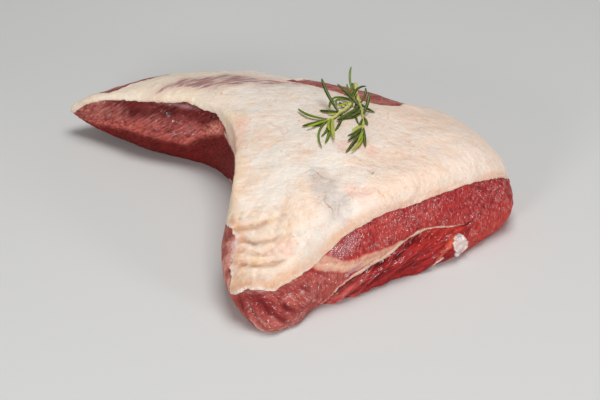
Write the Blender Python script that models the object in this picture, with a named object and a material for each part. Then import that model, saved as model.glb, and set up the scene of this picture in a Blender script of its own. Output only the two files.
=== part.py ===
"""Raw beef tri-tip lying fat side up, with a forked rosemary sprig on it.

The muscle is a comma: a thick body whose front right end is a straight knife cut, and a tail that
curls back to the left and thins to a tip. It is lofted from ribs. Each rib is an upright section that
runs from the hollow near side of the comma to its round far side, and the last rib is the cut face.
The fat cap is the top layer of the same loft. Lengths in the tables are millimetres.
"""

import math

import bmesh
import bpy
from mathutils import Vector, noise
from mathutils.bvhtree import BVHTree

MM = 0.001

# Ribs from the tail's tip to the cut face.
# near = rim of the near side, far = outermost line of the far side, both in plan.
RIB_NEAR = [
    (-147, 63), (-133, 56), (-114, 51), (-95, 45), (-75, 38), (-58, 28), (-46, 13),
    (-39, -9), (-37, -37), (-37, -64), (-35, -86), (-32, -106), (-21, -119), (-3, -109),
]
RIB_FAR = [
    (-147, 65), (-131, 73.5), (-111, 84), (-89, 94.5), (-61, 98), (-36, 96), (-6, 90),
    (28, 78), (67, 60), (97, 42), (116, 20), (122, 1), (119, -13), (113, -21),
]
# Height of the top at each share of the way across, from the near rim to the far side.
ACROSS = (0.0, 0.10, 0.25, 0.50, 0.75, 0.90, 1.0)
TOP_HEIGHTS = [
    (20, 20, 20, 20, 20, 19, 18),
    (30, 30, 30, 29, 26, 22, 17),
    (36, 37, 37, 36, 32, 25, 15),
    (41, 42, 42, 40, 35, 27, 15),
    (46, 47, 47, 44, 38, 28, 16),
    (49, 50, 51, 48, 41, 31, 17),
    (51, 52, 53, 51, 45, 35, 18),
    (51, 53, 55, 54, 49, 39, 19),
    (50, 53, 56, 57, 53, 42, 20),
    (46, 50, 56, 59, 55, 46, 22),
    (39, 45, 54, 58, 56, 48, 25),
    (28, 36, 49, 57, 56, 49, 30),
    (27, 30, 43, 55, 54, 48, 35),
    (28, 35, 48, 52, 51, 46, 39),
]
UNDERSIDE = (16, 10, 4.5, 1, 0, 0, 0, 0, 0, 0, 0, 0, 0, 0)

# How far the near wall stands out from the rim at each share of its height.
UP = (0.0, 0.15, 0.42, 0.75, 1.0)
NEAR_WALL = [
    (0, 0, 0, 0, 0), (-1, -1, 0, 0, 0), (-1, 2, 5, 4, 0), (-1, 4.5, 8.5, 6, 0), (-2, 3, 7, 5, 0),
    (-5, -0.5, 3, 3, 0), (-5, -2, 1, 1, 0), (-7, -5, -2.5, -0.5, 0), (-6, -4, -2, -1, 0), (-3, 2, 5, 3, 0),
    (0, 4, 7.5, 7, 0), (-2, 1.5, 4.5, 5, 0), (0, 2, 4, 3, 0), (1, 1.5, 1, 0, 0),
]
FAR_WALL = [
    (-3, -1, 0, 0, 0), (-4, -1, 0, 0, 0), (-5, -2, 0, 0, 0), (-6, -2, 0, 0, 0), (-6, -2, 0, 0, 0),
    (-6, -2, 0, 0, 0), (-6, -2, 0, 0, 0), (-6, -2, 0, 0, 0), (-6, -2, 0, 0, 0), (-6, -2, 0, 0, 0),
    (-6, -2, 0, 0, 0), (-4, 0, 2, 1, 0), (0, 4.5, 6.5, 4, 0), (2, 6, 8.5, 6, 0),
]
# How far the cut face stands out from the last rib, by share across and by share of height.
FACE_ACROSS = (0.0, 0.10, 0.20, 0.40, 0.60, 0.85, 1.0)
FACE_WALL = [
    (10, 11, 9, 5, 0), (4, 6, 7, 4.3, 0), (7.5, 10, 9, 4.6, 0), (8.5, 10.4, 9.3, 4.8, 0),
    (11.5, 13.4, 10, 4, 0), (9, 10.8, 9.5, 4, 0), (4.5, 7, 8.5, 4, 0),
]
# The lower lean swells out under the front left corner: where, how far round, and how far out.
KNUCKLE = Vector((-11, -124, 4))
KNUCKLE_SIZE = Vector((10, 10, 11))
KNUCKLE_OUT = Vector((0, -5.5))

# The fat cap's thickness at the near rim, in the middle and at its far edge, and how far across it reaches.
FAT_NEAR = (2, 2.5, 2.5, 3, 3, 4, 6, 8, 9, 8, 4, 4, 4, 4)
FAT_MIDDLE = (2, 3, 4, 4, 5, 6, 7, 8, 9, 9, 9, 8, 7, 6.5)
FAT_FAR = (1.2, 1.2, 1.2, 1.2, 1.2, 1.2, 1.2, 1.2, 1.2, 2, 4, 6, 6, 6)
FAT_REACH = (0.70, 0.44, 0.40, 0.46, 0.60, 0.75, 0.70, 0.66, 0.68, 0.92, 1.0, 1.0, 1.0, 1.0)
LAYER_GAP = 0.4

# The cut face in its own axes: distance along it from the front left corner, then height.
# The upper muscle ends in a seam over the lower one, and a tag of fat hangs at the seam's right end.
SEAM_ALONG = (33, 47, 62, 75, 85, 101, 116, 134)
SEAM_HEIGHT = (7, 11, 17, 21, 22.5, 27, 24, 21)
SEAM_DEPTH = 3.0
TAG_PLACE = (129, 12)
TAG_SIZE = (4.5, 7)
TAG_PROUD = 2.5
FACE_START = Vector((-14.7, -126.4))
FACE_ALONG = Vector((0.789, 0.614))

# Three valleys that run in from the fat's near edge by the front left corner.
# Each is y at the edge, slope, half width and depth.
FOLDS = ((-86, 0.2, 4.0, 2.2), (-93, 0.0, 3.5, 1.4), (-108, 0.35, 4.5, 2.8))
FOLD_START = -36
FOLD_LENGTH = 30
LUMP = 0.8
LUMP_SIZE = 24

# The sprig's two stems: x, y, height of the stem's middle over the meat, and radius.
# The first starts at the cut woody end, and the second forks off it.
STEMS = (
    (
        (30.5, 42.1, 6.5, 1.5), (30.8, 34.5, 4.5, 1.3), (31.7, 26.5, 3.3, 1.1), (32.7, 20.2, 2.6, 0.95),
        (33.8, 11.6, 2.2, 0.9), (34.6, 2.6, 2.0, 0.85), (34.7, -5.5, 1.8, 0.8), (34.4, -12.0, 1.6, 0.7),
        (33.7, -16.0, 1.4, 0.6),
    ),
    (
        (30.8, 34.5, 4.5, 1.0), (29.1, 24.3, 3.4, 1.0), (27.8, 17.9, 2.8, 1.2), (24.8, 10.4, 2.4, 1.3),
        (21.5, 5.2, 2.2, 1.2), (18.3, -0.6, 2.0, 1.1), (15.4, -3.3, 1.8, 0.9), (13.2, -5.0, 1.5, 0.7),
    ),
)
# Needles: stem, share along it, heading in degrees from +X, reach, rise of the tip, sideways bow, width.
NEEDLES = (
    (1, 0.72, 119, 23.2, 11.0, 3.1, 2.2), (1, 0.94, 145, 22.8, -1.5, 7.6, 1.9),
    (1, 0.98, -163, 15.2, -1.8, 0.7, 2.2), (1, 0.95, -146, 15.5, 0.1, 2.2, 1.7),
    (1, 0.99, -153, 9.6, -1.8, 4.4, 1.7), (1, 0.97, -96, 29.0, -0.5, -7.2, 1.3),
    (1, 0.96, -103, 17.7, -0.9, 3.0, 1.4), (1, 0.93, -96, 25.7, -0.3, 2.4, 2.0),
    (1, 0.92, -93, 16.1, 2.2, -2.2, 1.6), (1, 0.89, -88, 24.8, 1.9, -1.0, 2.2),
    (1, 0.67, -100, 21.7, -0.2, 2.6, 1.7), (0, 0.46, -124, 25.2, 2.2, 2.5, 2.6),
    (0, 0.53, -129, 17.3, 0.2, 4.7, 2.2), (1, 0.68, 169, 12.9, -1.0, 2.9, 2.2),
    (1, 0.74, 178, 6.7, -0.6, 2.1, 1.5), (1, 0.38, -145, 10.1, 0.5, 0.7, 1.6),
    (1, 0.48, 135, 7.7, -0.8, 3.2, 1.2), (1, 0.31, -148, 15.7, -0.8, -13.7, 1.7),
    (1, 0.34, -133, 13.0, 2.2, -10.2, 1.5), (0, 0.54, 129, 23.1, 6.0, -0.2, 2.2),
    (1, 0.29, 28, 8.9, 7.0, 6.4, 2.0), (1, 0.21, 124, 7.4, 5.0, 2.3, 1.3),
    (1, 0.17, 97, 16.9, 10.0, 3.4, 1.4), (0, 0.15, 107, 6.9, 3.0, 2.1, 1.8),
    (0, 0.42, 67, 7.6, 7.0, -2.7, 1.6), (0, 0.67, 73, 11.8, 9.0, -1.7, 2.0),
    (0, 0.40, -49, 13.8, 0.2, -3.1, 1.8), (0, 0.32, -90, 30.2, 1.0, -4.1, 1.4),
    (0, 0.70, -74, 9.2, 0.0, 0.1, 1.9), (0, 0.28, 145, 7.0, -0.2, 2.4, 1.6),
    (0, 0.89, -87, 21.2, -0.5, 0.0, 2.0), (0, 0.88, -129, 10.4, 1.5, 0.2, 2.2),
    (0, 0.92, -135, 12.4, -0.5, 1.5, 1.6), (0, 0.95, -122, 16.0, 0.8, 0.6, 1.8),
    (0, 0.97, -112, 25.3, -0.1, 0.9, 1.9), (0, 0.99, -106, 22.9, 1.0, 4.7, 1.8),
    (0, 0.96, -100, 16.2, 2.6, 1.2, 1.6), (0, 0.74, -108, 8.5, 0.1, 0.5, 1.5),
)
NEEDLE_THICKNESS = 0.5
NEEDLE_ARCH = 0.8
NEEDLE_SPACING = 7.5
SPRIG_GAP = 0.3
LIMB_SIDES = 6

# The middle of the finished meat in the tables' axes. It becomes the origin.
MIDDLE = (-10.5, -15.1)

# Faces of the loft's grid.
ALONG = 52
ACROSS_FAT = 20
ACROSS_STRIP = 5
UP_LEAN = 10


def clear_scene():
    for old in list(bpy.data.objects):
        bpy.data.objects.remove(old, do_unlink=True)


def material(name, colour, roughness):
    made = bpy.data.materials.new(name)
    made.use_nodes = True
    shader = made.node_tree.nodes["Principled BSDF"]
    shader.inputs["Base Color"].default_value = (*colour, 1)
    shader.inputs["Roughness"].default_value = roughness
    shader.inputs["Metallic"].default_value = 0
    return made


def curve_through(knots, values, x):
    """A smooth line through values at knots, read at x."""
    last = len(knots) - 2
    i = 0
    while i < last and x > knots[i + 1]:
        i += 1
    x0, x1 = knots[i], knots[i + 1]
    y0, y1 = values[i], values[i + 1]
    chord = (y1 - y0) / (x1 - x0)
    slope0 = chord if i == 0 else (y1 - values[i - 1]) / (x1 - knots[i - 1])
    slope1 = chord if i == last else (values[i + 2] - y0) / (knots[i + 2] - x0)
    u = (x - x0) / (x1 - x0)
    span = x1 - x0
    start = y0 * (1 + 2 * u) * (1 - u) ** 2 + slope0 * span * u * (1 - u) ** 2
    end = y1 * u * u * (3 - 2 * u) + slope1 * span * u * u * (u - 1)
    return start + end


RIBS = tuple(range(len(RIB_NEAR)))


def rib_value(values, s):
    """A rib table read at s, where 0 is the tip and 1 the cut face."""
    return curve_through(RIBS, values, s * RIBS[-1])


def rib_ends(s):
    near = Vector([rib_value([p[k] for p in RIB_NEAR], s) for k in (0, 1)])
    far = Vector([rib_value([p[k] for p in RIB_FAR], s) for k in (0, 1)])
    return near, far


def folds(x, y):
    """How far the fat's folds sink at this place: they run in from the near rim and fade out."""
    run = x - FOLD_START
    fade = min(1.0, max(0.0, 1 - run / FOLD_LENGTH))
    sink = 0.0
    for place, slope, width, depth in FOLDS:
        sink += depth * fade * math.exp(-((y - place - slope * run) / width) ** 2)
    return sink


def top_height(s, t):
    rib = [rib_value([row[k] for row in TOP_HEIGHTS], s) for k in range(len(ACROSS))]
    smooth = curve_through(ACROSS, rib, t)
    near, far = rib_ends(s)
    flat = near.lerp(far, t)
    away_from_tip = math.sin(math.pi * min(1, s * 4) / 2)
    lump = LUMP * noise.noise(Vector((flat.x, flat.y, 0)) / LUMP_SIZE) * away_from_tip
    return smooth + lump - folds(flat.x, flat.y)


def wall_out(table, s, v):
    return curve_through(UP, [rib_value([row[k] for row in table], s) for k in range(len(UP))], v)


def face_out(t, v):
    return curve_through(UP, [curve_through(FACE_ACROSS, [row[k] for row in FACE_WALL], t)
                              for k in range(len(UP))], v)


def face_relief(flat, z):
    """The seam's groove, which sinks in, and the tag, which stands out."""
    along = (flat - FACE_START).dot(FACE_ALONG)
    seam = curve_through(SEAM_ALONG, SEAM_HEIGHT, min(max(along, SEAM_ALONG[0]), SEAM_ALONG[-1]))
    inside = min(max((along - SEAM_ALONG[0]) / 20, 0), 1) * min(max((SEAM_ALONG[-1] - along) / 12, 0), 1)
    groove = SEAM_DEPTH * inside * math.exp(-((z - seam + 3) / 4) ** 2)
    off_tag = ((along - TAG_PLACE[0]) / TAG_SIZE[0]) ** 2 + ((z - TAG_PLACE[1]) / TAG_SIZE[1]) ** 2
    return TAG_PROUD * math.exp(-off_tag) - groove


def fat_reach(s):
    return min(rib_value(FAT_REACH, s), 0.985)


def fat_thickness(s, t):
    near, middle, far = (rib_value(row, s) for row in (FAT_NEAR, FAT_MIDDLE, FAT_FAR))
    return curve_through((0.0, 0.5, 1.0), (near, middle, far), min(t / fat_reach(s), 1.0))


def meat_point(s, t, z, top):
    """The loft's point at s along, t across and height z, where top is the height of the top there."""
    near, far = rib_ends(s)
    bottom = max(0.0, rib_value(UNDERSIDE, s))
    v = min(max((z - bottom) / (top - bottom), 0.0), 1.0)
    across = (far - near).normalized()
    near_edge = near - across * wall_out(NEAR_WALL, s, v)
    far_edge = far + across * wall_out(FAR_WALL, s, v)
    flat = near_edge.lerp(far_edge, t)
    ahead = Vector((across.y, -across.x))
    near_the_face = max(0.0, (s - 0.86) / 0.14)
    flat += ahead * face_out(t, v) * near_the_face ** 1.3
    off = Vector((flat.x, flat.y, z)) - KNUCKLE
    swell = sum((off[k] / KNUCKLE_SIZE[k]) ** 2 for k in range(3))
    flat += KNUCKLE_OUT * math.exp(-swell)
    if near_the_face > 0.5 and t > 0.02:
        flat += ahead * face_relief(flat, z) * (2 * near_the_face - 1) ** 3
    return Vector((flat.x, flat.y, z))


def grid_box(faces_along, faces_across, faces_up):
    """A unit cube cut into a grid on every side."""
    cube = bmesh.new()
    bmesh.ops.create_cube(cube, size=1)
    bmesh.ops.translate(cube, verts=cube.verts, vec=(0.5, 0.5, 0.5))
    for axis, faces in enumerate((faces_along, faces_across, faces_up)):
        edges = []
        for edge in cube.edges:
            run = edge.verts[0].co - edge.verts[1].co
            if abs(run[axis]) > 0.5 * run.length:
                edges.append(edge)
        if faces > 1:
            bmesh.ops.subdivide_edges(cube, edges=edges, cuts=faces - 1, use_grid_fill=True)
    return cube


def finish_object(name, shape, look, collection):
    mesh = bpy.data.meshes.new(name)
    bmesh.ops.triangulate(shape, faces=shape.faces, quad_method="SHORT_EDGE")
    bmesh.ops.recalc_face_normals(shape, faces=shape.faces)
    bmesh.ops.translate(shape, verts=shape.verts, vec=(-MIDDLE[0], -MIDDLE[1], 0))
    bmesh.ops.scale(shape, verts=shape.verts, vec=(MM, MM, MM))
    shape.to_mesh(mesh)
    shape.free()
    mesh.shade_smooth()
    mesh.set_sharp_from_angle(angle=math.radians(50))
    mesh.materials.append(look)
    made = bpy.data.objects.new(name, mesh)
    collection.objects.link(made)
    return made


def share_across(c, reach):
    """The lean's grid columns line up with the fat's as far as the fat reaches."""
    columns = ACROSS_FAT + ACROSS_STRIP
    split = ACROSS_FAT / columns
    if c <= split:
        return reach * c / split
    return reach + (1 - reach) * (c - split) / (1 - split)


def rib_share(u):
    """Rows of the grid stand closer together towards the cut face."""
    return u + 0.09 * math.sin(math.pi * u)


def make_lean(collection, look):
    cube = grid_box(ALONG, ACROSS_FAT + ACROSS_STRIP, UP_LEAN)
    for vert in cube.verts:
        u, c, v = vert.co
        s = rib_share(u)
        reach = fat_reach(s)
        t = share_across(c, reach)
        top = top_height(s, t)
        bottom = max(0.0, rib_value(UNDERSIDE, s))
        covered = fat_thickness(s, t) + LAYER_GAP
        if reach < 0.97:
            covered *= 1 - max(0.0, (t - reach) / (1 - reach)) * min(1.0, (0.97 - reach) / 0.05)
        vert.co = meat_point(s, t, bottom + v * (top - covered - bottom), top)
    flat = [face for face in cube.faces if all(vert.co.z < 1e-6 for vert in face.verts)]
    bmesh.ops.dissolve_faces(cube, faces=flat, use_verts=True)
    return finish_object("lean_meat", cube, look, collection)


def make_fat(collection, look):
    cube = grid_box(ALONG, ACROSS_FAT, 1)
    for vert in cube.verts:
        u, c, v = vert.co
        s = rib_share(u)
        t = c * fat_reach(s)
        top = top_height(s, t)
        vert.co = meat_point(s, t, top - (1 - v) * fat_thickness(s, t), top)
    return finish_object("fat_cap", cube, look, collection)


def height_finder(objects):
    """A function that gives the top of these objects at a place in the tables' axes."""
    trees = []
    for obj in objects:
        points = [vert.co / MM for vert in obj.data.vertices]
        trees.append(BVHTree.FromPolygons(points, [face.vertices for face in obj.data.polygons]))

    def height(x, y):
        above = Vector((x - MIDDLE[0], y - MIDDLE[1], 200))
        hits = [tree.ray_cast(above, Vector((0, 0, -1)))[0] for tree in trees]
        return max([hit.z for hit in hits if hit] or [0])

    return height


def limb(name, centre, size, rings, look, collection):
    """A closed tube round centre(share). size(share) gives half its width and half its thickness."""
    tube = bmesh.new()
    bmesh.ops.create_cone(tube, cap_ends=True, segments=LIMB_SIDES, radius1=1, radius2=1, depth=1)
    long_edges = [edge for edge in tube.edges if abs(edge.verts[0].co.z - edge.verts[1].co.z) > 0.5]
    bmesh.ops.subdivide_edges(tube, edges=long_edges, cuts=rings - 1)
    for vert in tube.verts:
        share = vert.co.z + 0.5
        ahead = (centre(min(share + 0.02, 1)) - centre(max(share - 0.02, 0))).normalized()
        side = ahead.cross(Vector((0, 0, 1))).normalized()
        half_width, half_thickness = size(share)
        place = centre(share)
        vert.co = place + side * vert.co.x * half_width + side.cross(ahead) * vert.co.y * half_thickness
    return finish_object(name, tube, look, collection)


def stem_line(points, height):
    """A stem's middle line and radius, read at a share of its length."""
    flats = [Vector((x, y)) for x, y, _, _ in points]
    run = [0.0]
    for one, other in zip(flats, flats[1:]):
        run.append(run[-1] + (other - one).length)
    knots = [length / run[-1] for length in run]

    def centre(share):
        x, y, over = (curve_through(knots, [point[k] for point in points], share) for k in (0, 1, 2))
        return Vector((x, y, height(x, y) + over))

    def size(share):
        radius = curve_through(knots, [point[3] for point in points], share)
        return radius, radius

    return centre, size


def needle_line(base, heading, reach, rise, bow, width, height):
    """A needle's middle line, an arch that stays clear of the fat, and its size along it."""
    ahead = Vector((math.cos(math.radians(heading)), math.sin(math.radians(heading)), 0))
    side = Vector((-ahead.y, ahead.x, 0))
    tip = base + ahead * reach + Vector((0, 0, rise))
    pull = (base + tip) / 2 + side * bow + Vector((0, 0, 2 * NEEDLE_ARCH))
    half = width / 2

    def size(share):
        swell = 0.55 + 0.45 * math.sin(math.pi * min(share * 2, 1) / 2)
        taper = math.sqrt(max(0.0, 1 - max(0.0, (share - 0.55) / 0.45) ** 2.4))
        wide = half * swell * (0.22 + 0.78 * taper)
        return wide, wide * NEEDLE_THICKNESS

    def centre(share):
        place = base * (1 - share) ** 2 + pull * 2 * share * (1 - share) + tip * share * share
        lowest = height(place.x, place.y) + size(share)[1] + SPRIG_GAP + 0.1
        return Vector((place.x, place.y, max(place.z, lowest)))

    return centre, size


def make_sprig(collection, look, height):
    """Stems and needles, fused into one solid."""
    pieces = bpy.data.collections.new("sprig_pieces")
    bpy.context.scene.collection.children.link(pieces)
    lines = [stem_line(points, height) for points in STEMS]
    trunk = limb("trunk", *lines[0], 8, look, collection)
    limb("branch", *lines[1], 7, look, pieces)
    for number, (stem, share, heading, reach, rise, bow, width) in enumerate(NEEDLES):
        base = lines[stem][0](share)
        centre, size = needle_line(base, heading, reach, rise, bow, width, height)
        rings = max(3, round(math.hypot(reach, rise) / NEEDLE_SPACING) + 1)
        limb(f"needle_{number}", centre, size, rings, look, pieces)
    fuse = trunk.modifiers.new("fuse", "BOOLEAN")
    fuse.operation = "UNION"
    fuse.solver = "EXACT"
    fuse.operand_type = "COLLECTION"
    fuse.collection = pieces
    graph = bpy.context.evaluated_depsgraph_get()
    fused = bpy.data.meshes.new_from_object(trunk.evaluated_get(graph))
    sprig = bpy.data.objects.new("rosemary_sprig", fused)
    collection.objects.link(sprig)
    for spent in [trunk, *pieces.objects]:
        bpy.data.objects.remove(spent, do_unlink=True)
    bpy.data.collections.remove(pieces)
    return sprig


def main():
    clear_scene()
    parts = bpy.data.collections.new("tri_tip")
    bpy.context.scene.collection.children.link(parts)
    lean_look = material("raw_beef", (0.45, 0.06, 0.05), 0.35)
    fat_look = material("beef_fat", (0.85, 0.62, 0.45), 0.45)
    leaf_look = material("rosemary_leaf", (0.10, 0.18, 0.04), 0.5)
    lean = make_lean(parts, lean_look)
    fat = make_fat(parts, fat_look)
    make_sprig(parts, leaf_look, height_finder([lean, fat]))


main()
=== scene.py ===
"""The looks of a raw beef tri-tip: red lean under a pale fat cap, with a rosemary sprig lying on the fat."""

import math

import bmesh
import bpy
import numpy as np
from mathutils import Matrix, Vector, noise
from mathutils.bvhtree import BVHTree


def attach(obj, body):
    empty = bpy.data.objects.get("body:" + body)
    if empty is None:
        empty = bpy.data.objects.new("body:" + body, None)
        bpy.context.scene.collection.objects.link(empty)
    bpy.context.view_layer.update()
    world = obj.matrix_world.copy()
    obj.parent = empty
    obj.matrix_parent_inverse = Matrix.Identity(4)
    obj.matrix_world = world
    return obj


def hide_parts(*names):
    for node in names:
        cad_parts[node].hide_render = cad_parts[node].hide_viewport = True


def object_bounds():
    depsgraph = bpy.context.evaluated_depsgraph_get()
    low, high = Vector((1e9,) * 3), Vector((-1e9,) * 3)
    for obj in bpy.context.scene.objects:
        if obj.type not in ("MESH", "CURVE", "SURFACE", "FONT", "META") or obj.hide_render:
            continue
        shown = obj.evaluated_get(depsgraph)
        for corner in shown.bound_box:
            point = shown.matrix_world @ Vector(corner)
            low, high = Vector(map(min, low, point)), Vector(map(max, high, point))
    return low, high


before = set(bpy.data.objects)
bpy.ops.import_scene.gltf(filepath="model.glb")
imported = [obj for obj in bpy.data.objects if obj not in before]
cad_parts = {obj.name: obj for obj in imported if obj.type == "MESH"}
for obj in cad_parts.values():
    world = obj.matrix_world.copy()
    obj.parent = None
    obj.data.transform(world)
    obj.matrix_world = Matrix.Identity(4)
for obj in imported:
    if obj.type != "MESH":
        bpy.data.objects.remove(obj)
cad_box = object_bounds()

# The meat's outer skin. Fat has grown onto muscle with no gap between, so both are worked from this one
# closed surface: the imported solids, swollen over the thin gap that parts them and evened to a fine grid.
# Places are in millimetres from the point that the part's own tables start at, which lies off the origin.
MM = 0.001
START = np.array([-10.5, -15.1, 0.0])
LAYERS = ("lean_meat", "fat_cap")
SWELL = 0.3
GRID = 1.15
RELAX_ROUNDS = 14


def shape_of(mesh):
    shape = bmesh.new()
    shape.from_mesh(mesh)
    return shape


def merged_copy(node):
    """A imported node's solid, its loose triangles joined and facing outwards."""
    shape = shape_of(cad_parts[node].data)
    bmesh.ops.remove_doubles(shape, verts=shape.verts, dist=0.001 * MM)
    bmesh.ops.recalc_face_normals(shape, faces=shape.faces)
    return shape


def mesh_of(shape, name):
    """A mesh of the shape, which is then freed."""
    mesh = bpy.data.meshes.new(name)
    shape.to_mesh(mesh)
    shape.free()
    return mesh


def tree_of(shape):
    """The shape's surface, for finding places on it. The shape is then freed."""
    surface = BVHTree.FromBMesh(shape)
    shape.free()
    return surface


def placed(name, data):
    """A new object in the scene. A piece stays at the origin, with its place in its mesh."""
    made = bpy.data.objects.new(name, data)
    bpy.context.scene.collection.objects.link(made)
    return made


def grown_together():
    """One even closed mesh round the lean and the fat."""
    both = bmesh.new()
    for node in LAYERS:
        layer = merged_copy(node)
        layer.normal_update()
        for vert in layer.verts:
            vert.co += vert.normal * SWELL * MM
        both.from_mesh(mesh_of(layer, node + "_swollen"))
    body = placed("both_layers", mesh_of(both, "both_layers"))
    even = body.modifiers.new("even", "REMESH")
    even.mode = "VOXEL"
    even.voxel_size = GRID * MM
    relax = body.modifiers.new("relax", "SMOOTH")
    relax.factor = 0.5
    relax.iterations = RELAX_ROUNDS
    graph = bpy.context.evaluated_depsgraph_get()
    made = bpy.data.meshes.new_from_object(body.evaluated_get(graph))
    bpy.data.objects.remove(body, do_unlink=True)
    return made


def places_of(mesh):
    flat = np.empty(len(mesh.vertices) * 3)
    mesh.vertices.foreach_get("co", flat)
    return flat.reshape(-1, 3) / MM + START


def place_all(mesh, places):
    """Moves every point of the mesh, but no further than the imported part's box."""
    low, high = (np.array(corner) for corner in cad_box)
    mesh.vertices.foreach_set("co", np.clip((places - START) * MM, low, high).ravel())
    mesh.update()


def normals_of(mesh):
    flat = np.empty(len(mesh.vertices) * 3)
    mesh.vertex_normals.foreach_get("vector", flat)
    return flat.reshape(-1, 3)


def to_nearest(surface, places):
    """How far each place is from a surface."""
    found = [surface.find_nearest(place) for place in (places - START) * MM]
    return np.array([distance / MM for _, _, _, distance in found])


def ease(low, high, x):
    """0 at low and before it, 1 at high and past it, with an even slope between. It also runs downwards."""
    share = np.clip((x - low) / (high - low), 0, 1)
    return share * share * (3 - 2 * share)


def from_line(line, places):
    """For each place, the nearest point of a broken line: its distance, the way out from it to the place, the
    line's run there, and the row."""
    line = np.array(line, float)[:, :places.shape[1]]
    nearest = np.full(len(places), np.inf)
    away = np.zeros(places.shape)
    run = np.zeros(places.shape)
    row = np.zeros(len(places))
    for number, (start, end) in enumerate(zip(line, line[1:])):
        along = end - start
        share = np.clip((places - start) @ along / (along @ along), 0, 1)
        off = places - start - share[:, None] * along
        distance = np.linalg.norm(off, axis=1)
        nearer = distance < nearest
        nearest[nearer] = distance[nearer]
        away[nearer] = off[nearer]
        run[nearer] = along
        row[nearer] = number + share[nearer]
    return nearest, away, run, row


def above_line(line, places, normals):
    """How far above a line on the skin each place is, seen from outside with the line's run to the right."""
    distance, away, run, _ = from_line(line, places)
    return np.sign((away * np.cross(normals, run)).sum(axis=1)) * distance


def rough(places, size, seed=0):
    """Noise from -1 to 1 whose lumps are about this many millimetres across, or along each axis."""
    return np.array([noise.noise(place) for place in (places / size + seed).tolist()])


def averaged(values, edges, rounds, share=1.0):
    """Values on the skin evened out with their neighbours', this many times."""
    count = len(values)
    neighbours = np.bincount(edges.ravel(), minlength=count)
    for _ in range(rounds):
        total = np.bincount(edges[:, 0], values[edges[:, 1]], count)
        total += np.bincount(edges[:, 1], values[edges[:, 0]], count)
        values = values + share * (total / neighbours - values) / 2
    return values


# Where fat stops and lean begins, seen from outside with the fat above: down the left shoulder and along
# the cut, along the tail's near side and the left wall, and, from right to left, where the far side is
# trimmed to the red, over the body and over the tail.
CUT_RIM = [
    (-39.8, -77.3, 34.0), (-37, -83.4, 36.2), (-35, -87, 36.1), (-34.9, -93.2, 33), (-34.9, -99.4, 30),
    (-35.4, -103.4, 26.3), (-34.5, -106.3, 23.9), (-35.3, -109.6, 20.2), (-33.6, -113.7, 16.3),
    (-31.8, -116.2, 16.9), (-29.6, -117.8, 20.6), (-25.1, -119.2, 23.9), (-19.9, -120.2, 24.5),
    (-15.4, -119.5, 23.2), (-10.5, -117.6, 22.5), (-6.6, -114.4, 24), (-0.7, -110.6, 25.2),
    (3.7, -107.1, 27.4), (8.1, -104.3, 28.4), (13.2, -99.9, 32), (18.4, -95.8, 35.9), (25.2, -90.5, 40.5),
    (30.5, -86.7, 42.4), (39.7, -79.8, 44.3), (46.9, -74.2, 45.3), (55.4, -67.9, 44.7), (66.8, -59.4, 43.4),
    (78.5, -50.4, 43.2), (90.3, -41.3, 42.7), (99.4, -34.1, 41.3), (108.9, -26.1, 38.8),
    (119.4, -13.5, 31.5),
]
TAIL_RIM = [
    (-147, 62.5, 12), (-143.3, 61.1, 18.2), (-137.5, 58.2, 24.3), (-131, 55.3, 28.8), (-122.7, 52.7, 32.3),
    (-112.3, 49.4, 34.8), (-100.7, 45.3, 37.1), (-95, 43.5, 38.7), (-86.1, 40.4, 40.4), (-71.5, 35.2, 44),
    (-64, 31.5, 44.1), (-60.7, 28.2, 43.8), (-56.2, 24.9, 44.7), (-51.4, 20.2, 45.7), (-49.9, 17.9, 44.7),
    (-48.4, 15.7, 43.3), (-46.1, 11.6, 41.8), (-42, 1.5, 37), (-40, -12, 32), (-38, -35, 31),
    (-40, -60, 31), (-41, -72, 33),
]
FAR_RIM = [
    (59.3, 27.3, 53.4), (56.4, 22.8, 54.7), (46.9, 21.1, 55.6), (36.8, 24.8, 55.3), (19.7, 41.9, 51.2),
    (6.7, 46.4, 52), (-6.7, 51.8, 51),
]
TAIL_FAR_RIM = [
    (-78, 80.5, 37), (-84, 79, 37.1), (-88.3, 76.5, 37.3), (-95, 73.9, 36.8), (-102, 70, 36.8),
    (-107, 65, 37.2), (-111, 61, 37), (-117, 58.6, 35.6), (-121, 58.2, 34), (-126, 60, 31),
]
# Nearer a rim than the second distance its line says where fat is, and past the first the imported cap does.
# How far inside the fat a place lies is kept up to the reach, and skin that faces down is bare.
RIM_HOLD = (12, 7)
RIM_REACH = 4
UNDERNEATH = -0.4
# Between these, a thin sheet of fat runs on over the far shoulder to where the skin is about this steep.
SHOULDER_FROM = (-86, -74)
SHOULDER_TO = (-5, -14)
SHOULDER_BEHIND = (40, 48)
SHOULDER_STEEP = 0.45
SHOULDER_FADE = 25
# Its end slants to the right as it goes over the far edge: the slope, and the row that it starts from.
SHOULDER_SLANT = 0.9
SHOULDER_ROW = 56

skin = grown_together()
skin_edges = np.empty(len(skin.edges) * 2, int)
skin.edges.foreach_get("vertices", skin_edges)
skin_edges = skin_edges.reshape(-1, 2)
skin_places = places_of(skin)

# The fat rolls over the long cut in a broad curve, so the skin is relaxed further just above that rim.
ROLL_ROUNDS = 40
above_cut = above_line(CUT_RIM, skin_places, normals_of(skin))
loose = ease(1.5, 5, above_cut) * ease(18, 11, above_cut)
for axis in range(3):
    skin_places[:, axis] = averaged(skin_places[:, axis], skin_edges, ROLL_ROUNDS, loose)
place_all(skin, skin_places)
skin_normals = normals_of(skin)
x_at, y_at, z_at = skin_places.T
in_plan = skin_places[:, :2]

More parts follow.
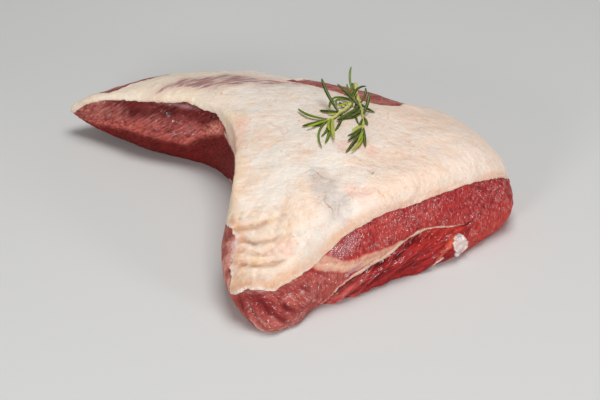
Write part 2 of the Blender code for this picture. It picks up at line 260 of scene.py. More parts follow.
packed_trees = [tree_of(merged_copy(node)) for node in LAYERS]
over_lean, over_fat = (to_nearest(surface, skin_places) for surface in packed_trees)
inside_fat = np.clip(over_lean - over_fat, -RIM_REACH, RIM_REACH)
above_rims = [
    above_line(rim, skin_places, skin_normals) for rim in (CUT_RIM, TAIL_RIM, FAR_RIM, TAIL_FAR_RIM)
]
nearest_rim = np.argmin(np.abs(above_rims), axis=0)
above_rim = np.choose(nearest_rim, above_rims)
above = np.clip(above_rim, -RIM_REACH, RIM_REACH)
inside_fat += ease(*RIM_HOLD, np.abs(above_rim)) * (above - inside_fat)
over_shoulder = ease(*SHOULDER_FROM, x_at) * ease(*SHOULDER_BEHIND, y_at)
shoulder_end = x_at - SHOULDER_SLANT * (y_at - SHOULDER_ROW) + 3 * rough(skin_places, 7, 19)
over_shoulder *= ease(*SHOULDER_TO, shoulder_end)
wrapped = np.clip(SHOULDER_FADE * (skin_normals[:, 2] - SHOULDER_STEEP), -RIM_REACH, RIM_REACH)
inside_fat += over_shoulder * (wrapped - inside_fat)
inside_fat[skin_normals[:, 2] < UNDERNEATH] = -RIM_REACH
inside_fat = averaged(inside_fat, skin_edges, 2)
# The fat's edge is uneven, and more so down the left shoulder, where it was torn.
torn = ease(-22, -31, x_at) * ease(20, 8, y_at)
uneven = (0.8 + 0.9 * torn) * rough(skin_places, 6.0, 3) + (0.5 + 1.0 * torn) * rough(skin_places, 2.5, 8)
inside_fat += uneven

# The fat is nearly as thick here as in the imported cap, but no thinner than a peel and even towards its rim.
PEEL = 1.4
THICKEST = 8
fat_depth = np.where(inside_fat > 0.5, np.clip(0.85 * over_lean, PEEL, THICKEST), PEEL)
fat_depth = averaged(fat_depth, skin_edges, 8)

# The lean: one muscle, and the end of a second under it that the knife laid bare. It is wet raw beef, cut
# across its fibres on the long front face and along them on the tail, with silverskin where it parts from
# its neighbours.
# Where the face starts, the way along it and out of it, and the way out of the tail's near side.
FACE_START = np.array([-14.7, -126.4])
FACE_ALONG = np.array([0.789, 0.614])
FACE_OUT = np.array([0.614, -0.789])
TAIL_OUT = np.array([-0.5, -0.86, 0])
# On the face: how far along it, the height, and half the width of the line there.
SEAM = [
    (36.1, 3.2, 0.3), (41.8, 7.1, 0.4), (45.8, 12.7, 0.5), (50.4, 15.4, 0.7), (59, 17.7, 1.1),
    (68.2, 18.3, 1.3), (75.2, 19.5, 1.4), (84.2, 21.8, 1.2), (89.1, 24.5, 0.8), (95.1, 25.3, 0.3),
    (100.8, 26.7, 0.7), (108.6, 26.3, 0.8), (116.4, 24.8, 0.6), (123.8, 22.8, 0.4), (134.8, 21.1, 0.0),
]
WEDGE = [
    (34, 31.5, 3.5), (36.7, 30.2, 4.4), (42.1, 27.9, 4.2), (48.7, 24.8, 3), (56.1, 23.0, 3.2),
    (64.2, 23.1, 3.7), (74.3, 23.0, 3.0), (83.3, 23.3, 2.2), (88.9, 25.0, 1.1),
]
WEDGE_CREST = [
    (36, 29, 0.6), (42, 27.2, 1.2), (48.7, 24.4, 0.8), (56, 22.8, 0.8), (64.2, 22.0, 0.9), (73, 22.0, 0.8),
]
VEIN = [(50.5, 18.6, 0.8), (54.1, 20.6, 1.3), (58.7, 21.9, 0.9), (62, 22.8, 0.3)]
STREAK = [(125, 15.5, 0.8), (121.5, 12.4, 1.5), (117, 8.6, 1.7), (113.8, 6.1, 1.2)]
STREAK_END = [(117.5, 6, 0.7), (113.5, 3.4, 2.1), (112.2, 0.8, 2.2)]
# Clusters of pale flecks on the first muscle's cut: flecks of fat, and painted glints where the meat is
# wettest.
FLECK_AND_GLINT_CLUSTERS = [
    [(40, 31, 3), (50, 37, 5), (60, 37, 6), (64, 42, 3)],
    [(84, 40, 4), (95, 37, 6), (106, 38, 6), (116, 37, 4)],
    [(72, 29, 3), (84, 30, 3)],
]
FRESH_CUT = [(100, 18, 2), (106, 20, 4), (115, 20, 4.5), (124, 18.5, 4.5), (131, 20.5, 2.5)]
# Where along the face the second muscle fades out at its right end, and how that end slants below this row.
FACE_END = (150, 138)
END_SLANT = 1.1
END_ROW = 21
# On the skin: patches and slivers of silverskin, as lines with half their width.
SILVERSKIN = [
    [(-35.4, -91.7, 33.5, 1.2), (-33.8, -97.2, 31.8, 2.0), (-34.3, -100.2, 29.5, 1.6),
     (-35.9, -101.2, 27, 0.8)],
    [(-23, -124, 6.6, 0.8), (-19.7, -125.4, 3.1, 1.3), (-14.2, -126.4, 0.1, 1.3)],
    [(-5.3, -124.1, 6.2, -0.3), (-2.1, -121.6, 5.8, 0.0), (1, -119.8, 5.9, -0.3)],
    [(9.2, -108.8, 10.5, 0.2), (10.5, -107, 8, 0.3), (12.2, -105, 5.5, 0.2), (16.5, -102.5, 8.5, -0.2)],
    [(3, -113.6, 18.6, 0.6), (4.5, -112.4, 18.2, 0.6)],
    [(-45.7, 10.7, 37.8, 1.6), (-43.6, 6.6, 37, 3.0), (-41.6, 1.7, 36, 2.6)],
    [(-43.5, 15.5, 2, 1.0), (-41.6, 12.0, 2.6, 1.4)],
]
# Where a film of membrane makes the lean paler: the left wall, the rounded corner and the tail's tip.
PALE_LEAN = [
    [(-39, -70, 22, 8), (-38, -85, 24, 12), (-37, -100, 18, 12), (-35, -112, 12, 9)],
    [(-31, -118, 14, 7), (-20, -124, 12, 9), (-6, -121, 14, 9), (6, -112, 18, 7)],
    [(-134, 58, 21, 4), (-125, 54, 24, 5), (-113, 47, 27, 4)],
]
# The rounded corner's folds fall to the right: the crests, wetter and painted lighter as highlight, and the
# dips between them, painted darker as shade.
SHINY_CRESTS_PAINTED_LIGHT = [
    [(-26, -122, 17, 0.8), (-24, -123.5, 12.5, 1.6), (-21.4, -125.3, 7.7, 1.6), (-17, -127, 3.5, 1)],
    [(-21, -124.5, 12.5, 1), (-17.6, -127, 8, 1.6), (-12, -127, 5, 1)],
    [(-13, -125.6, 11.5, 1), (-10, -126.5, 6.5, 1.6), (-7, -125.5, 4, 1)],
    [(-6, -119.6, 18, 2), (0, -116.5, 15, 4), (6, -112, 13.5, 3.5), (11, -107.6, 13, 2)],
]
DIPS_PAINTED_SHADE = [
    [(-26, -120.5, 20, 1.5), (-20, -122, 20, 3.5), (-16, -123.3, 16.5, 2.6), (-11, -125.2, 11.5, 1.6),
     (-5, -124.4, 7.5, 1.6)],
    [(-9, -119.5, 19, 0.8), (-5.5, -119.9, 13.5, 1.3), (-1, -119.5, 9.5, 1.2)],
    [(-29.5, -118.7, 17, 2), (-28.5, -120.5, 10, 1.5)],
]
# Where the tail's cut is freshest and brightest: low on the left, and along the crease to the inner corner.
BRIGHT_TAIL = [
    [(-133, 57, 16, 1), (-125.4, 52.2, 17, 2.5), (-119, 49, 17, 5), (-110.7, 43.9, 20, 5), (-103, 40, 20, 3)],
    [(-86, 33, 18, 2), (-76, 31, 17.5, 3), (-66, 27, 19, 3), (-57, 23, 27, 3), (-51.4, 18.3, 34.2, 4.5),
     (-48.4, 15.2, 39.6, 3)],
]
INNER_CORNER = [(-57, 23, 33, 2), (-52.9, 19.9, 35, 3.5), (-49.5, 15.5, 40, 2.5)]
# Pools of juice: one under the fat's rim on the cut, and some on the tail.
WET_PATCH = [(15.5, -100, 26, 3.5), (21.9, -96.6, 31, 4.5), (25.5, -93.4, 34, 4), (31, -88.5, 38, 2.5)]
WET_TAIL = [
    [(-129, 54.3, 28, 2), (-116, 48.3, 29, 2)],
    [(-93.5, 37.3, 28.4, 2), (-84.1, 35.3, 32.2, 3), (-72.5, 30.9, 31, 3), (-66, 28, 24.9, 3),
     (-59.5, 25.2, 23.7, 3)],
    [(-80, 32, 22, 2), (-69, 28.9, 21.6, 2)],
]
# A pale film along the tail's upper edge, and the crease low on its side, under which it turns in.
TAIL_FILM = [
    (-92, 42.5, 38.6, 0.3), (-84.8, 40.3, 39.6, 0.8), (-76.6, 36.7, 41.2, 1.0), (-69, 33.1, 42, 1.0),
    (-62.6, 29.5, 42.8, 0.5),
]
TAIL_CREASE = [
    (-138, 60, 14), (-128.8, 55, 13.1), (-107.7, 42.3, 18.8), (-97.2, 37.2, 18.4), (-82, 32.8, 17.6),
    (-71.1, 30, 17.5), (-52.8, 19.7, 32.5), (-46, 8, 38),
]
# Grooves in the rounded corner below the fat's tip, with how deep each is. Their lips stand this far off.
LIP_OFF = 4
GROOVES = [
    [(-20, -121.5, 21, 0.0), (-18.5, -123, 17.5, 0.6), (-14.5, -124.8, 13, 0.9), (-9, -125.5, 9, 0.8),
     (-4, -123.5, 6, 0.2)],
    [(-10, -119, 20, 0.0), (-6.5, -120.2, 15.5, 0.5), (-3.5, -120.5, 11.5, 0.7), (1, -119, 8, 0.4),
     (5, -114, 6, 0.0)],
    [(-30, -117, 18, 0.0), (-28.8, -120.3, 12, 0.5), (-26, -123, 6, 0.5), (-22, -125, 2, 0.1)],
    [(-24.5, -121, 19, 0.0), (-22.8, -124.3, 12.5, 0.6), (-19.5, -126.3, 7.5, 0.7), (-14, -127, 3.5, 0.1)],
]
# The second muscle's fibres climb to the right along its face: where from, how steeply, and how that eases.
RIDGES_FROM = 45
RIDGE_SLOPE = 0.58
RIDGE_EASES = 0.0023

# The middle of the meat in plan: on its hidden sides the fibres run round it.
MIDDLE = np.array([20.0, 0.0])

from_start = in_plan - FACE_START
face = np.stack([from_start @ FACE_ALONG, z_at], axis=1)
along_face, face_depth = face[:, 0], from_start @ FACE_OUT
# The face ends where the meat rounds off, gently at its right end, and some way behind its plane.
GENTLE_ROUNDS = 150
facing = skin_normals[:, :2] @ FACE_OUT
facing += ease(112, 130, along_face) * (averaged(facing, skin_edges, GENTLE_ROUNDS) - facing)
facing += 0.2 * rough(skin_places, 12, 63)
on_face = ease(-0.25, 0.45, facing) * ease(20, 34, along_face)
on_face *= ease(-44, -10, face_depth + 9 * rough(skin_places, 14, 65))


def half_width(band, row):
    return np.interp(row, range(len(band)), [place[-1] for place in band])


def inside_band(band, places):
    """How far inside a band of varying width each place is, in mm. It is negative outside."""
    distance, _, _, row = from_line(band, places)
    return half_width(band, row) - distance


def inside_any(bands, places):
    """How far inside one of several bands each place is."""
    return np.max([inside_band(band, places) for band in bands], axis=0)


def left_of_line(found):
    """How far to the left of a flat line each place is, from what from_line found."""
    distance, away, run, _ = found
    return np.sign(run[:, 0] * away[:, 1] - run[:, 1] * away[:, 0]) * distance


def furrowed(relief, furrows, wander, lip, lip_width, width):
    """The relief with furrows cut in it, each a line with its depth, and a raised lip beside each."""
    for furrow in furrows:
        distance, _, _, row = from_line(furrow, skin_places)
        distance = np.abs(distance + wander)
        raised = lip * np.exp(-((distance - LIP_OFF) / lip_width) ** 2)
        relief = relief + half_width(furrow, row) * (raised - np.exp(-(distance / width) ** 2))
    return relief


seam_found = from_line(SEAM, face)
below_seam = -left_of_line(seam_found)
seam_half = half_width(SEAM, seam_found[3])
lower = on_face * ease(-0.3, 0.7, below_seam)
lower *= ease(*FACE_END, along_face + END_SLANT * (END_ROW - z_at))
fresh = lower * ease(-3, 2, inside_band(FRESH_CUT, face))
right_end = on_face * (1 - lower) * ease(126, 144, along_face + 0.5 * (END_ROW - z_at))
wet_patch = on_face * ease(-2, 2, inside_band(WET_PATCH, skin_places))
in_wedge = inside_band(WEDGE, face)
pale = [ease(-5, 5, inside_band(band, skin_places)) for band in PALE_LEAN]
bright = ease(-4, 3, inside_any(BRIGHT_TAIL, skin_places))

above_crease = above_line(TAIL_CREASE, skin_places, skin_normals)
inward = skin_normals @ TAIL_OUT
tail = ease(-33, -40, x_at) * ease(-0.1, 0.25, inward)
tail *= ease(-36, 2, y_at + 6 * rough(skin_places, 9, 67))
under = tail * ease(0.3, -1.2, above_crease)
# Painted shade: below the crease, where the tail turns under, its colour is dark.
shaded_underside = tail * ease(2.5, -3.5, above_crease)
silver = inside_any(SILVERSKIN, skin_places)

bare = ease(0.3, -0.5, inside_fat)
# Fibres: how far along them, and across them both ways, each place lies. Pairs such as 0.8 and 0.6 slant
# them.
climb = RIDGE_SLOPE * (along_face - RIDGES_FROM) - RIDGE_EASES * (along_face - RIDGES_FROM) ** 2
turned = np.stack([along_face, 0.93 * (z_at - climb), face_depth], axis=1)
upright = np.stack([2.2 * z_at, along_face, face_depth], axis=1)
slant = np.stack([0.8 * x_at + 0.6 * z_at, 0.8 * z_at - 0.6 * x_at, y_at], axis=1)
falling = np.stack([z_at, y_at, x_at], axis=1)
from_middle = in_plan - MIDDLE
turn = np.arctan2(from_middle @ FACE_ALONG, -(from_middle @ FACE_OUT))
round_meat = np.stack([100 * turn, z_at, np.linalg.norm(from_middle, axis=1)], axis=1)
round_corner = np.stack(
    [0.75 * along_face - 0.66 * z_at, 0.66 * along_face + 0.75 * z_at, face_depth], axis=1)

# The relief in millimetres: the second muscle's ridges, the groove under the seam and the seam's own rise,
# the cut's fibres, the wedge, the wet patch, the right end, the rounded corner, the left wall and the tail.
relief = 0.45 * rough(skin_places, 10.0) + 0.22 * rough(skin_places, 4.0, 5)
coarse = rough(turned, (30.0, 5.6, 14.0), 2)
fine = rough(turned, (12.0, 2.6, 6.0), 12)
relief += lower * (2.0 * (0.4 - 2 * np.abs(coarse)) + 0.7 * fine)
relief -= on_face * 1.3 * ease(0.4, 2.2, below_seam) * ease(8, 2, below_seam) * ease(122, 86, along_face)
relief += on_face * 0.7 * np.clip(seam_half - np.abs(below_seam), -0.6, 0.6)
relief += on_face * (1 - lower) * 0.4 * rough(upright, (10.0, 2.2, 4.0), 4)
relief += on_face * 0.5 * ease(-2, 1, in_wedge)
relief += wet_patch * 0.6 * rough(skin_places, (5.0, 5.0, 3.0), 31)
relief += right_end * (0.5 * rough(skin_places, 5.0, 23) + 0.3 * rough(skin_places, 2.5, 29))
strand_relief_and_shade = rough(round_corner, (20.0, 4.6, 8.0), 14)
relief += pale[1] * (0.7 * strand_relief_and_shade + 0.3 * rough(round_corner, (9.0, 2.6, 4.0), 24))
relief += pale[0] * 0.6 * rough(skin_places, (5.0, 5.0, 12.0), 45)
relief += tail * (1 - under) * (0.4 * rough(slant, (8.0, 2.4, 4.0), 6) + 0.3 * rough(skin_places, 3, 9))
relief += tail * 0.8 * np.exp(-((above_crease - 1.5) / 2.0) ** 2)
relief = furrowed(relief, GROOVES, wander=0, lip=0.5, lip_width=2.2, width=2.2)
# Painted shade: where the relief sinks below its surroundings the lean's colour is darkened, less on the
# fresh cut.
hollow = np.clip((averaged(relief, skin_edges, 8) - relief) / 0.4, -1, 1) * (1 - 0.7 * fresh)
sunk = np.where(inside_fat > 0.2, averaged(ease(0.2, 1.5, inside_fat) * (fat_depth + 0.35), skin_edges, 2), 0)

lean_mesh = skin.copy()
lean_places = skin_places + skin_normals * (relief * bare - sunk)[:, None]
lean_places[:, 2] = np.maximum(lean_places[:, 2], 0)
place_all(lean_mesh, lean_places)
lean_mesh.shade_smooth()


def keep(mesh, **stored):
    """Stores numbers, or threes of them, on the points of the mesh, for its material to read."""
    for name, values in stored.items():
        kind, field = ("FLOAT", "value") if values.ndim == 1 else ("FLOAT_VECTOR", "vector")
        mesh.attributes.new(name, kind, "POINT").data.foreach_set(field, values.ravel())


def linear(colour):
    """An sRGB hex colour as the linear one that shaders take."""
    parts = [int(colour[i:i + 2], 16) / 255 for i in (1, 3, 5)]
    return [*(p / 12.92 if p <= 0.04045 else ((p + 0.055) / 1.055) ** 2.4 for p in parts), 1.0]


def painted(first, zones):
    """A colour for each point: the first one, with each zone's colour laid over it by the zone's share."""
    colours = np.tile(linear(first)[:3], (len(zones[0][0]), 1))
    for share, shade in zones:
        colours += share[:, None] * (np.array(linear(shade)[:3]) - colours)
    return colours


# Mottling in each zone, and the rounded corner's crests and dips, which carry its painted highlights and
# shade.
mottle = rough(skin_places, (9.0, 9.0, 6.0), 43)
tail_mottle = rough(slant, (16.0, 5.0, 8.0), 47)
wall_mottle = rough(skin_places, (4.0, 4.0, 12.0), 45)
shiny_crests_painted_light = ease(-1.5, 1.5, inside_any(SHINY_CRESTS_PAINTED_LIGHT, skin_places))
dips_painted_shade = ease(-1.5, 1.5, inside_any(DIPS_PAINTED_SHADE, skin_places))
inner_corner = ease(-3, 2, inside_band(INNER_CORNER, skin_places))
# Each row: a zone's share, then the colours of its darkest and its palest fibres, laid over the rows before.
LEAN_ZONES = (
    (ease(-0.1, 0.35, rough(skin_places, 16, 41)), "#8a453f", "#bb7469"),
    (0.5 * ease(0.05, 0.4, rough(round_meat, (34.0, 9.0, 20.0), 141)), "#9c605c", "#d8a69e"),
    (0.6 * ease(-0.05, -0.4, rough(round_meat, (26.0, 5.0, 20.0), 143)), "#6c2b2a", "#9c4f48"),
    (pale[0], "#a5544c", "#d28979"),
    (pale[0] * ease(-87, -91, y_at) * ease(-104, -99, y_at), "#b46a5b", "#e2ae9e"),
    (pale[0] * ease(0.0, 0.35, wall_mottle) * 0.9, "#7c332d", "#a8584c"),
    (pale[0] * ease(0.0, -0.35, wall_mottle) * 0.9, "#b46a5b", "#dfa999"),
    (pale[0] * ease(-90, -87, y_at) * ease(-80, -85, y_at) * ease(27, 32, z_at) * 0.8, "#6f2522", "#8f3d37"),
    (on_face, "#962a2a", "#be4643"),
    (on_face * ease(0.0, 0.4, mottle) * 0.85, "#a53230", "#cf5a54"),
    (on_face * ease(0.0, -0.4, mottle) * 0.75, "#6d0e15", "#a4292b"),
    (on_face * ease(112, 84, along_face) * 0.5, "#9c2020", "#d24a44"),
    (on_face * ease(80, 105, along_face) * 0.6, "#971d20", "#c03836"),
    (on_face * ease(-12, -2, below_seam) * ease(6, -2, below_seam) * 0.4, "#a83430", "#d6584f"),
    (pale[1], "#9f3630", "#bc544a"),
    # Painted light: the rounded corner is lighter towards its foot.
    (pale[1] * ease(14, 6, z_at) * 0.9, "#c0605a", "#e29383"),
    # Painted light and shade: the corner is lighter where its strands stand up and darker where they sink.
    (pale[1] * ease(0.0, 0.45, strand_relief_and_shade) * 0.6, "#b04b43", "#cf7365"),
    (pale[1] * ease(-0.05, -0.45, strand_relief_and_shade) * 0.6, "#7c2423", "#993a36"),
    (pale[1] * ease(5, 1, above_rims[0] + 6) * 0.6, "#772326", "#963938"),
    # Painted shade in the corner's dips, and painted highlight on its crests, most near their foot.
    (dips_painted_shade * 0.85, "#70191c", "#902f2f"),
    (shiny_crests_painted_light * 0.9, "#a53f36", "#c4665a"),
    (shiny_crests_painted_light * ease(12, 6, z_at) * 0.7, "#bd5d54", "#dd8a7d"),
    (on_face * (1 - lower) * ease(56, 46, along_face) * ease(27, 23, z_at) * 0.8, "#9a423c", "#c46a61"),
    (wet_patch, "#962d35", "#c4585c"),
    (right_end, "#86181b", "#b53c3d"),
    (right_end * ease(28, 12, z_at) * 0.8, "#ae2c27", "#dc5044"),
    (lower, "#760f17", "#be322f"),
    (lower * ease(70, 42, along_face), "#b24444", "#ec7d73"),
    (fresh, "#8a1718", "#bd322b"),
    (fresh * ease(6, 1.5, below_seam) * ease(100, 108, along_face) * 0.8, "#b2251f", "#e44c3c"),
    (tail, "#95403c", "#d9766c"),
    (tail * ease(0.05, 0.5, tail_mottle) * 0.8, "#8f322c", "#d27063"),
    (tail * ease(-0.05, -0.5, tail_mottle) * 0.7, "#5c1f21", "#96423f"),
    # Painted shade: a dark band on the tail just under the fat's rim, where the fat overhangs it.
    (tail * ease(-15, -6, above_rims[1]) * ease(-130, -118, x_at) * 0.95, "#4a1012", "#752a28"),
    (tail * ease(-1, 1, inside_band(TAIL_FILM, skin_places)) * 0.9, "#815055", "#c79a9b"),
    (tail * bright * 0.8, "#9c3a34", "#e87f70"),
    (tail * pale[2] * 0.8, "#94463f", "#d88c80"),
    (tail * inner_corner, "#b9564a", "#f2a794"),
    # Painted shade under the tail's crease.
    (shaded_underside, "#4a0d0a", "#85231c"),
)
# Lines drawn on the face run on behind it, so places off it are put far outside them.
off_face = np.where(on_face > 0.3, 0.0, -9.0)
grain = np.select(
    [tail[:, None] > 0.5, lower[:, None] > 0.5, on_face[:, None] > 0.5, pale[1][:, None] > 0.4,
     pale[0][:, None] > 0.4],
    [slant, turned, upright, round_corner, falling],
    round_meat,
)
# How much the pale flecks, of fat and painted glints, show, and how wet the meat is: well below 0 is dry, and
# above it glints.
in_clusters = ease(-3, 3, inside_any(FLECK_AND_GLINT_CLUSTERS, face))
flecked = on_face * (1 - lower) * np.maximum(in_clusters, 0.25 * ease(-0.1, 0.4, rough(skin_places, 10, 51)))
flecked = np.maximum(flecked, 0.6 * tail * (1 - under) * ease(-0.2, 0.3, rough(skin_places, 10, 53)))
flecked = np.maximum(flecked, 0.3 * lower * ease(-0.1, 0.35, rough(turned, (16.0, 5.0, 9.0), 57)))
flecked = np.maximum(flecked, 0.15 * pale[1] * ease(-0.1, 0.35, rough(skin_places, 8, 59)))
wet = -1.3 + on_face * (1 - lower) * (0.9 + 1.4 * in_clusters)
wet = np.where(lower > 0.5, -0.8 + 1.9 * ease(0.25, 0.0, np.abs(coarse)) * (1 - 0.6 * fresh), wet)
in_wet_tail = ease(-4, 1, inside_any(WET_TAIL, skin_places))
wet = np.where(tail > 0.5, -1.2 + 1.7 * in_wet_tail - 4 * shaded_underside, wet)
wet = np.where(pale[1] > 0.4, -0.6 + 1.7 * shiny_crests_painted_light - 0.8 * dips_painted_shade, wet) + 3.0 * wet_patch
wet -= 3 * on_face * ease(-2, 0.5, in_wedge)
tail_top = tail * ease(-14, -8, above_rims[1]) * ease(-125, -115, x_at)
wet -= 8 * ease(0.05, -0.15, skin_normals[:, 2]) + tail_top
keep(
    lean_mesh,
    dark=painted("#90403b", [(share, dark) for share, dark, _ in LEAN_ZONES]),
    light=painted("#cb8074", [(share, light) for share, _, light in LEAN_ZONES]),
    grain=grain,
    seam_off=below_seam,
    seam_half=seam_half + off_face,
    wedge=in_wedge + off_face,
    wedge_crest=inside_band(WEDGE_CREST, face) + off_face,
    vein=inside_band(VEIN, face) + off_face,
    streak=inside_band(STREAK, face) + off_face,
    streak_end=inside_band(STREAK_END, face) + off_face,
    silver=silver,
    flecked=flecked,
    wet=wet,
    netted=right_end,
    hollow=hollow,
)


def started(name):
    """A new material, its tree and its shader."""
    made = bpy.data.materials.new(name)
    made.use_nodes = True
    return made, made.node_tree, made.node_tree.nodes["Principled BSDF"]


def feed(tree, node, inputs):
    """Sets a node's sockets, or links them to other nodes' outputs."""
    for socket, value in inputs.items():
        if isinstance(value, bpy.types.NodeSocket):
            tree.links.new(value, node.inputs[socket])
        else:
            node.inputs[socket].default_value = value


def add_node(tree, kind, output, inputs=None, **settings):
    """Adds a node with its settings, feeds it, and gives one of its outputs. In a Mix node of colours, the
    share is socket 0, the colours are 6 and 7, and the outcome is output 2."""
    made = tree.nodes.new(kind)
    for setting, value in settings.items():
        setattr(made, setting, value)
    feed(tree, made, inputs or {})
    return made.outputs[output]


# Raw beef: dark red, and light goes in a little way. Its fibres show as fine light and dark streaks. Its
# juice is a patchy coat, whose index of refraction is far above real juice's: it stands in for strong
# glints on drops too fine for the render. Its pale flecks are flecks of fat between the fibres and painted
# glints; they and the glints are drawn a little wide, to show.
# In millimetres: the length and width of a fibre, a fleck and a glint, then how far across the holes of the
# net, the blotches, the torn edges and the beads of juice are.
FIBRE = (10, 1.3)
FLECK_AND_PAINTED_GLINT = (4.2, 1.2)
GLINT = (4.0, 1.15)
NET = 7
BLOTCH = 14
TORN = 2.5
BEAD = 1.5
raw_beef, tree, shader = started("raw_beef_cut_muscle")
object_at = add_node(tree, "ShaderNodeTexCoord", "Object")
grain_at = add_node(tree, "ShaderNodeAttribute", "Vector", attribute_name="grain")
dark, light = (
    add_node(tree, "ShaderNodeAttribute", "Color", attribute_name=name) for name in ("dark", "light")
)
held = {
    name: add_node(tree, "ShaderNodeAttribute", "Fac", attribute_name=name)
    for name in ("flecked", "wet", "netted", "hollow", "seam_off", "seam_half", "wedge", "wedge_crest",
                 "vein", "streak", "streak_end", "silver")
}
fibres, fleck_and_glint_noise, glints = (
    add_node(tree, "ShaderNodeTexNoise", 0, {
        "Vector": add_node(tree, "ShaderNodeVectorMath", 0,
                           {0: grain_at, 1: (1 / length, 1 / width, 1 / width)}, operation="MULTIPLY"),
        "Scale": 1,
        "Detail": detail,
        "Roughness": fuzz,
    })
    for (length, width), detail, fuzz in ((FIBRE, 3, 0.6), (FLECK_AND_PAINTED_GLINT, 1, 0.5), (GLINT, 0, 0.5))
)
blotches, ragged, beads = (
    add_node(tree, "ShaderNodeTexNoise", 0, {"Vector": object_at, "Scale": 1 / (size * MM), "Detail": detail})
    for size, detail in ((BLOTCH, 2), (TORN, 2), (BEAD, 1))
)
net = add_node(tree, "ShaderNodeTexNoise", 0,
               {"Vector": object_at, "Scale": 1 / (NET * MM), "Detail": 4, "Distortion": 0.6})
net_far = add_node(tree, "ShaderNodeMath", 0, {0: net, 1: 0.5}, operation="SUBTRACT")
net_near = add_node(tree, "ShaderNodeMath", 0, {0: net_far}, operation="ABSOLUTE")
net_share = add_node(tree, "ShaderNodeMapRange", 0, {"Value": net_near, "From Min": 0.03, "From Max": 0.0})
in_net = add_node(tree, "ShaderNodeMath", 0, {0: held["netted"], 1: net_share}, operation="MULTIPLY")
fleck_and_glint_share = add_node(tree, "ShaderNodeMapRange", 0, {"Value": fleck_and_glint_noise, "From Min": 0.61, "From Max": 0.7})
in_flecks_and_glints = add_node(tree, "ShaderNodeMath", 0, {0: held["flecked"], 1: fleck_and_glint_share}, operation="MULTIPLY")
fibre_share = add_node(tree, "ShaderNodeMapRange", 0, {"Value": fibres, "From Min": 0.36, "From Max": 0.66})
colour = add_node(tree, "ShaderNodeMix", 2, {0: fibre_share, 6: dark, 7: light}, data_type="RGBA")
# Each row: what is measured, where it starts and is full, the most that it covers, and its colour.
for value, low, high, most, shade in (
    (blotches, 0.45, 0.7, 0.3, linear("#8a1c20")),
    # Painted shade in the hollows of the relief.
    (held["hollow"], 0.1, 1.0, 0.75, linear("#43070b")),
    (beads, 0.42, 0.25, 0.2, dark),
    (ragged, 0.55, 0.75, 0.35, light),
    # Pale flecks: flecks of fat, and painted glints.
    (in_flecks_and_glints, 0, 1, 0.35, linear("#e3a79c")),
    (in_net, 0, 1, 0.3, linear("#dc9b92")),
):
    share = add_node(tree, "ShaderNodeMapRange", 0,
                     {"Value": value, "From Min": low, "From Max": high, "To Max": most})
    colour = add_node(tree, "ShaderNodeMix", 2, {0: share, 6: colour, 7: shade}, data_type="RGBA")

# Membranes lie over the muscle, each with a ragged edge: the number kept is how far inside it a place is.
ragged_mm = add_node(tree, "ShaderNodeMath", 0, {0: ragged, 1: 2.4, 2: -1.2}, operation="MULTIPLY_ADD")
seam_far = add_node(tree, "ShaderNodeMath", 0, {0: held["seam_off"]}, operation="ABSOLUTE")
in_seam = add_node(tree, "ShaderNodeMath", 0, {0: held["seam_half"], 1: seam_far}, operation="SUBTRACT")
cloudy_share = add_node(tree, "ShaderNodeMapRange", 0, {"Value": ragged, "From Min": 0.25, "From Max": 0.7})
membrane = add_node(tree, "ShaderNodeMix", 2, {0: cloudy_share, 6: linear("#cb8a74"), 7: linear("#dda68e")},
                    data_type="RGBA")
# Each row: which membrane, how ragged and how soft its edge is, and its colour.
for inside_it, edge, soft, shade in (
    (held["wedge"], 0.5, 0.7, membrane),
    (held["wedge_crest"], 1.0, 1.0, linear("#e5b9a0")),
    (held["vein"], 1.0, 0.7, linear("#bd8a8c")),
    (held["streak"], 1.6, 1.0, linear("#d85c44")),
    (held["streak_end"], 1.4, 0.5, linear("#f3dccf")),
    (held["silver"], 1.6, 0.9, linear("#d6aaa4")),
    (in_seam, 0.4, 0.4, linear("#ecc8b3")),
):
    frayed = add_node(tree, "ShaderNodeMath", 0, {0: ragged_mm, 1: edge, 2: inside_it},
                      operation="MULTIPLY_ADD")
    share = add_node(tree, "ShaderNodeMapRange", 0, {"Value": frayed, "From Min": -soft, "From Max": soft})
    colour = add_node(tree, "ShaderNodeMix", 2, {0: share, 6: colour, 7: shade}, data_type="RGBA")
fibre_bump = add_node(tree, "ShaderNodeBump", 0, {"Strength": 0.8, "Distance": 0.5 * MM, "Height": fibres})
bead_bump = add_node(tree, "ShaderNodeBump", 0,
                     {"Strength": 0.7, "Distance": 0.6 * MM, "Height": beads, "Normal": fibre_bump})
glint_bump = add_node(tree, "ShaderNodeBump", 0,
                      {"Strength": 1.0, "Distance": 2.6 * MM, "Height": glints, "Normal": fibre_bump})
wet_bump = add_node(tree, "ShaderNodeBump", 0,
                    {"Strength": 1.0, "Distance": 0.8 * MM, "Height": beads, "Normal": glint_bump})
wet_glints = add_node(tree, "ShaderNodeMath", 0, {0: held["wet"], 1: 0.09, 2: glints},
                      operation="MULTIPLY_ADD")
wet_share = add_node(tree, "ShaderNodeMapRange", 0,
                     {"Value": wet_glints, "From Min": 0.57, "From Max": 0.63, "To Min": 0.02})
feed(tree, shader, {
    "Base Color": colour,
    "Normal": bead_bump,
    "Roughness": 0.55,
    "Specular IOR Level": 0.12,
    "Coat Normal": wet_bump,
    "Coat Weight": wet_share,
    "Coat Roughness": 0.27,
    "Coat IOR": 2.4,
    "Subsurface Weight": 0.1,
    "Subsurface Radius": (1.0, 0.25, 0.15),
    "Subsurface Scale": 2.5 * MM,
})

lean_mesh.materials.clear()
lean_mesh.materials.append(raw_beef)
lean = placed("lean_muscle", lean_mesh)
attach(lean, "root")
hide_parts("lean_meat")

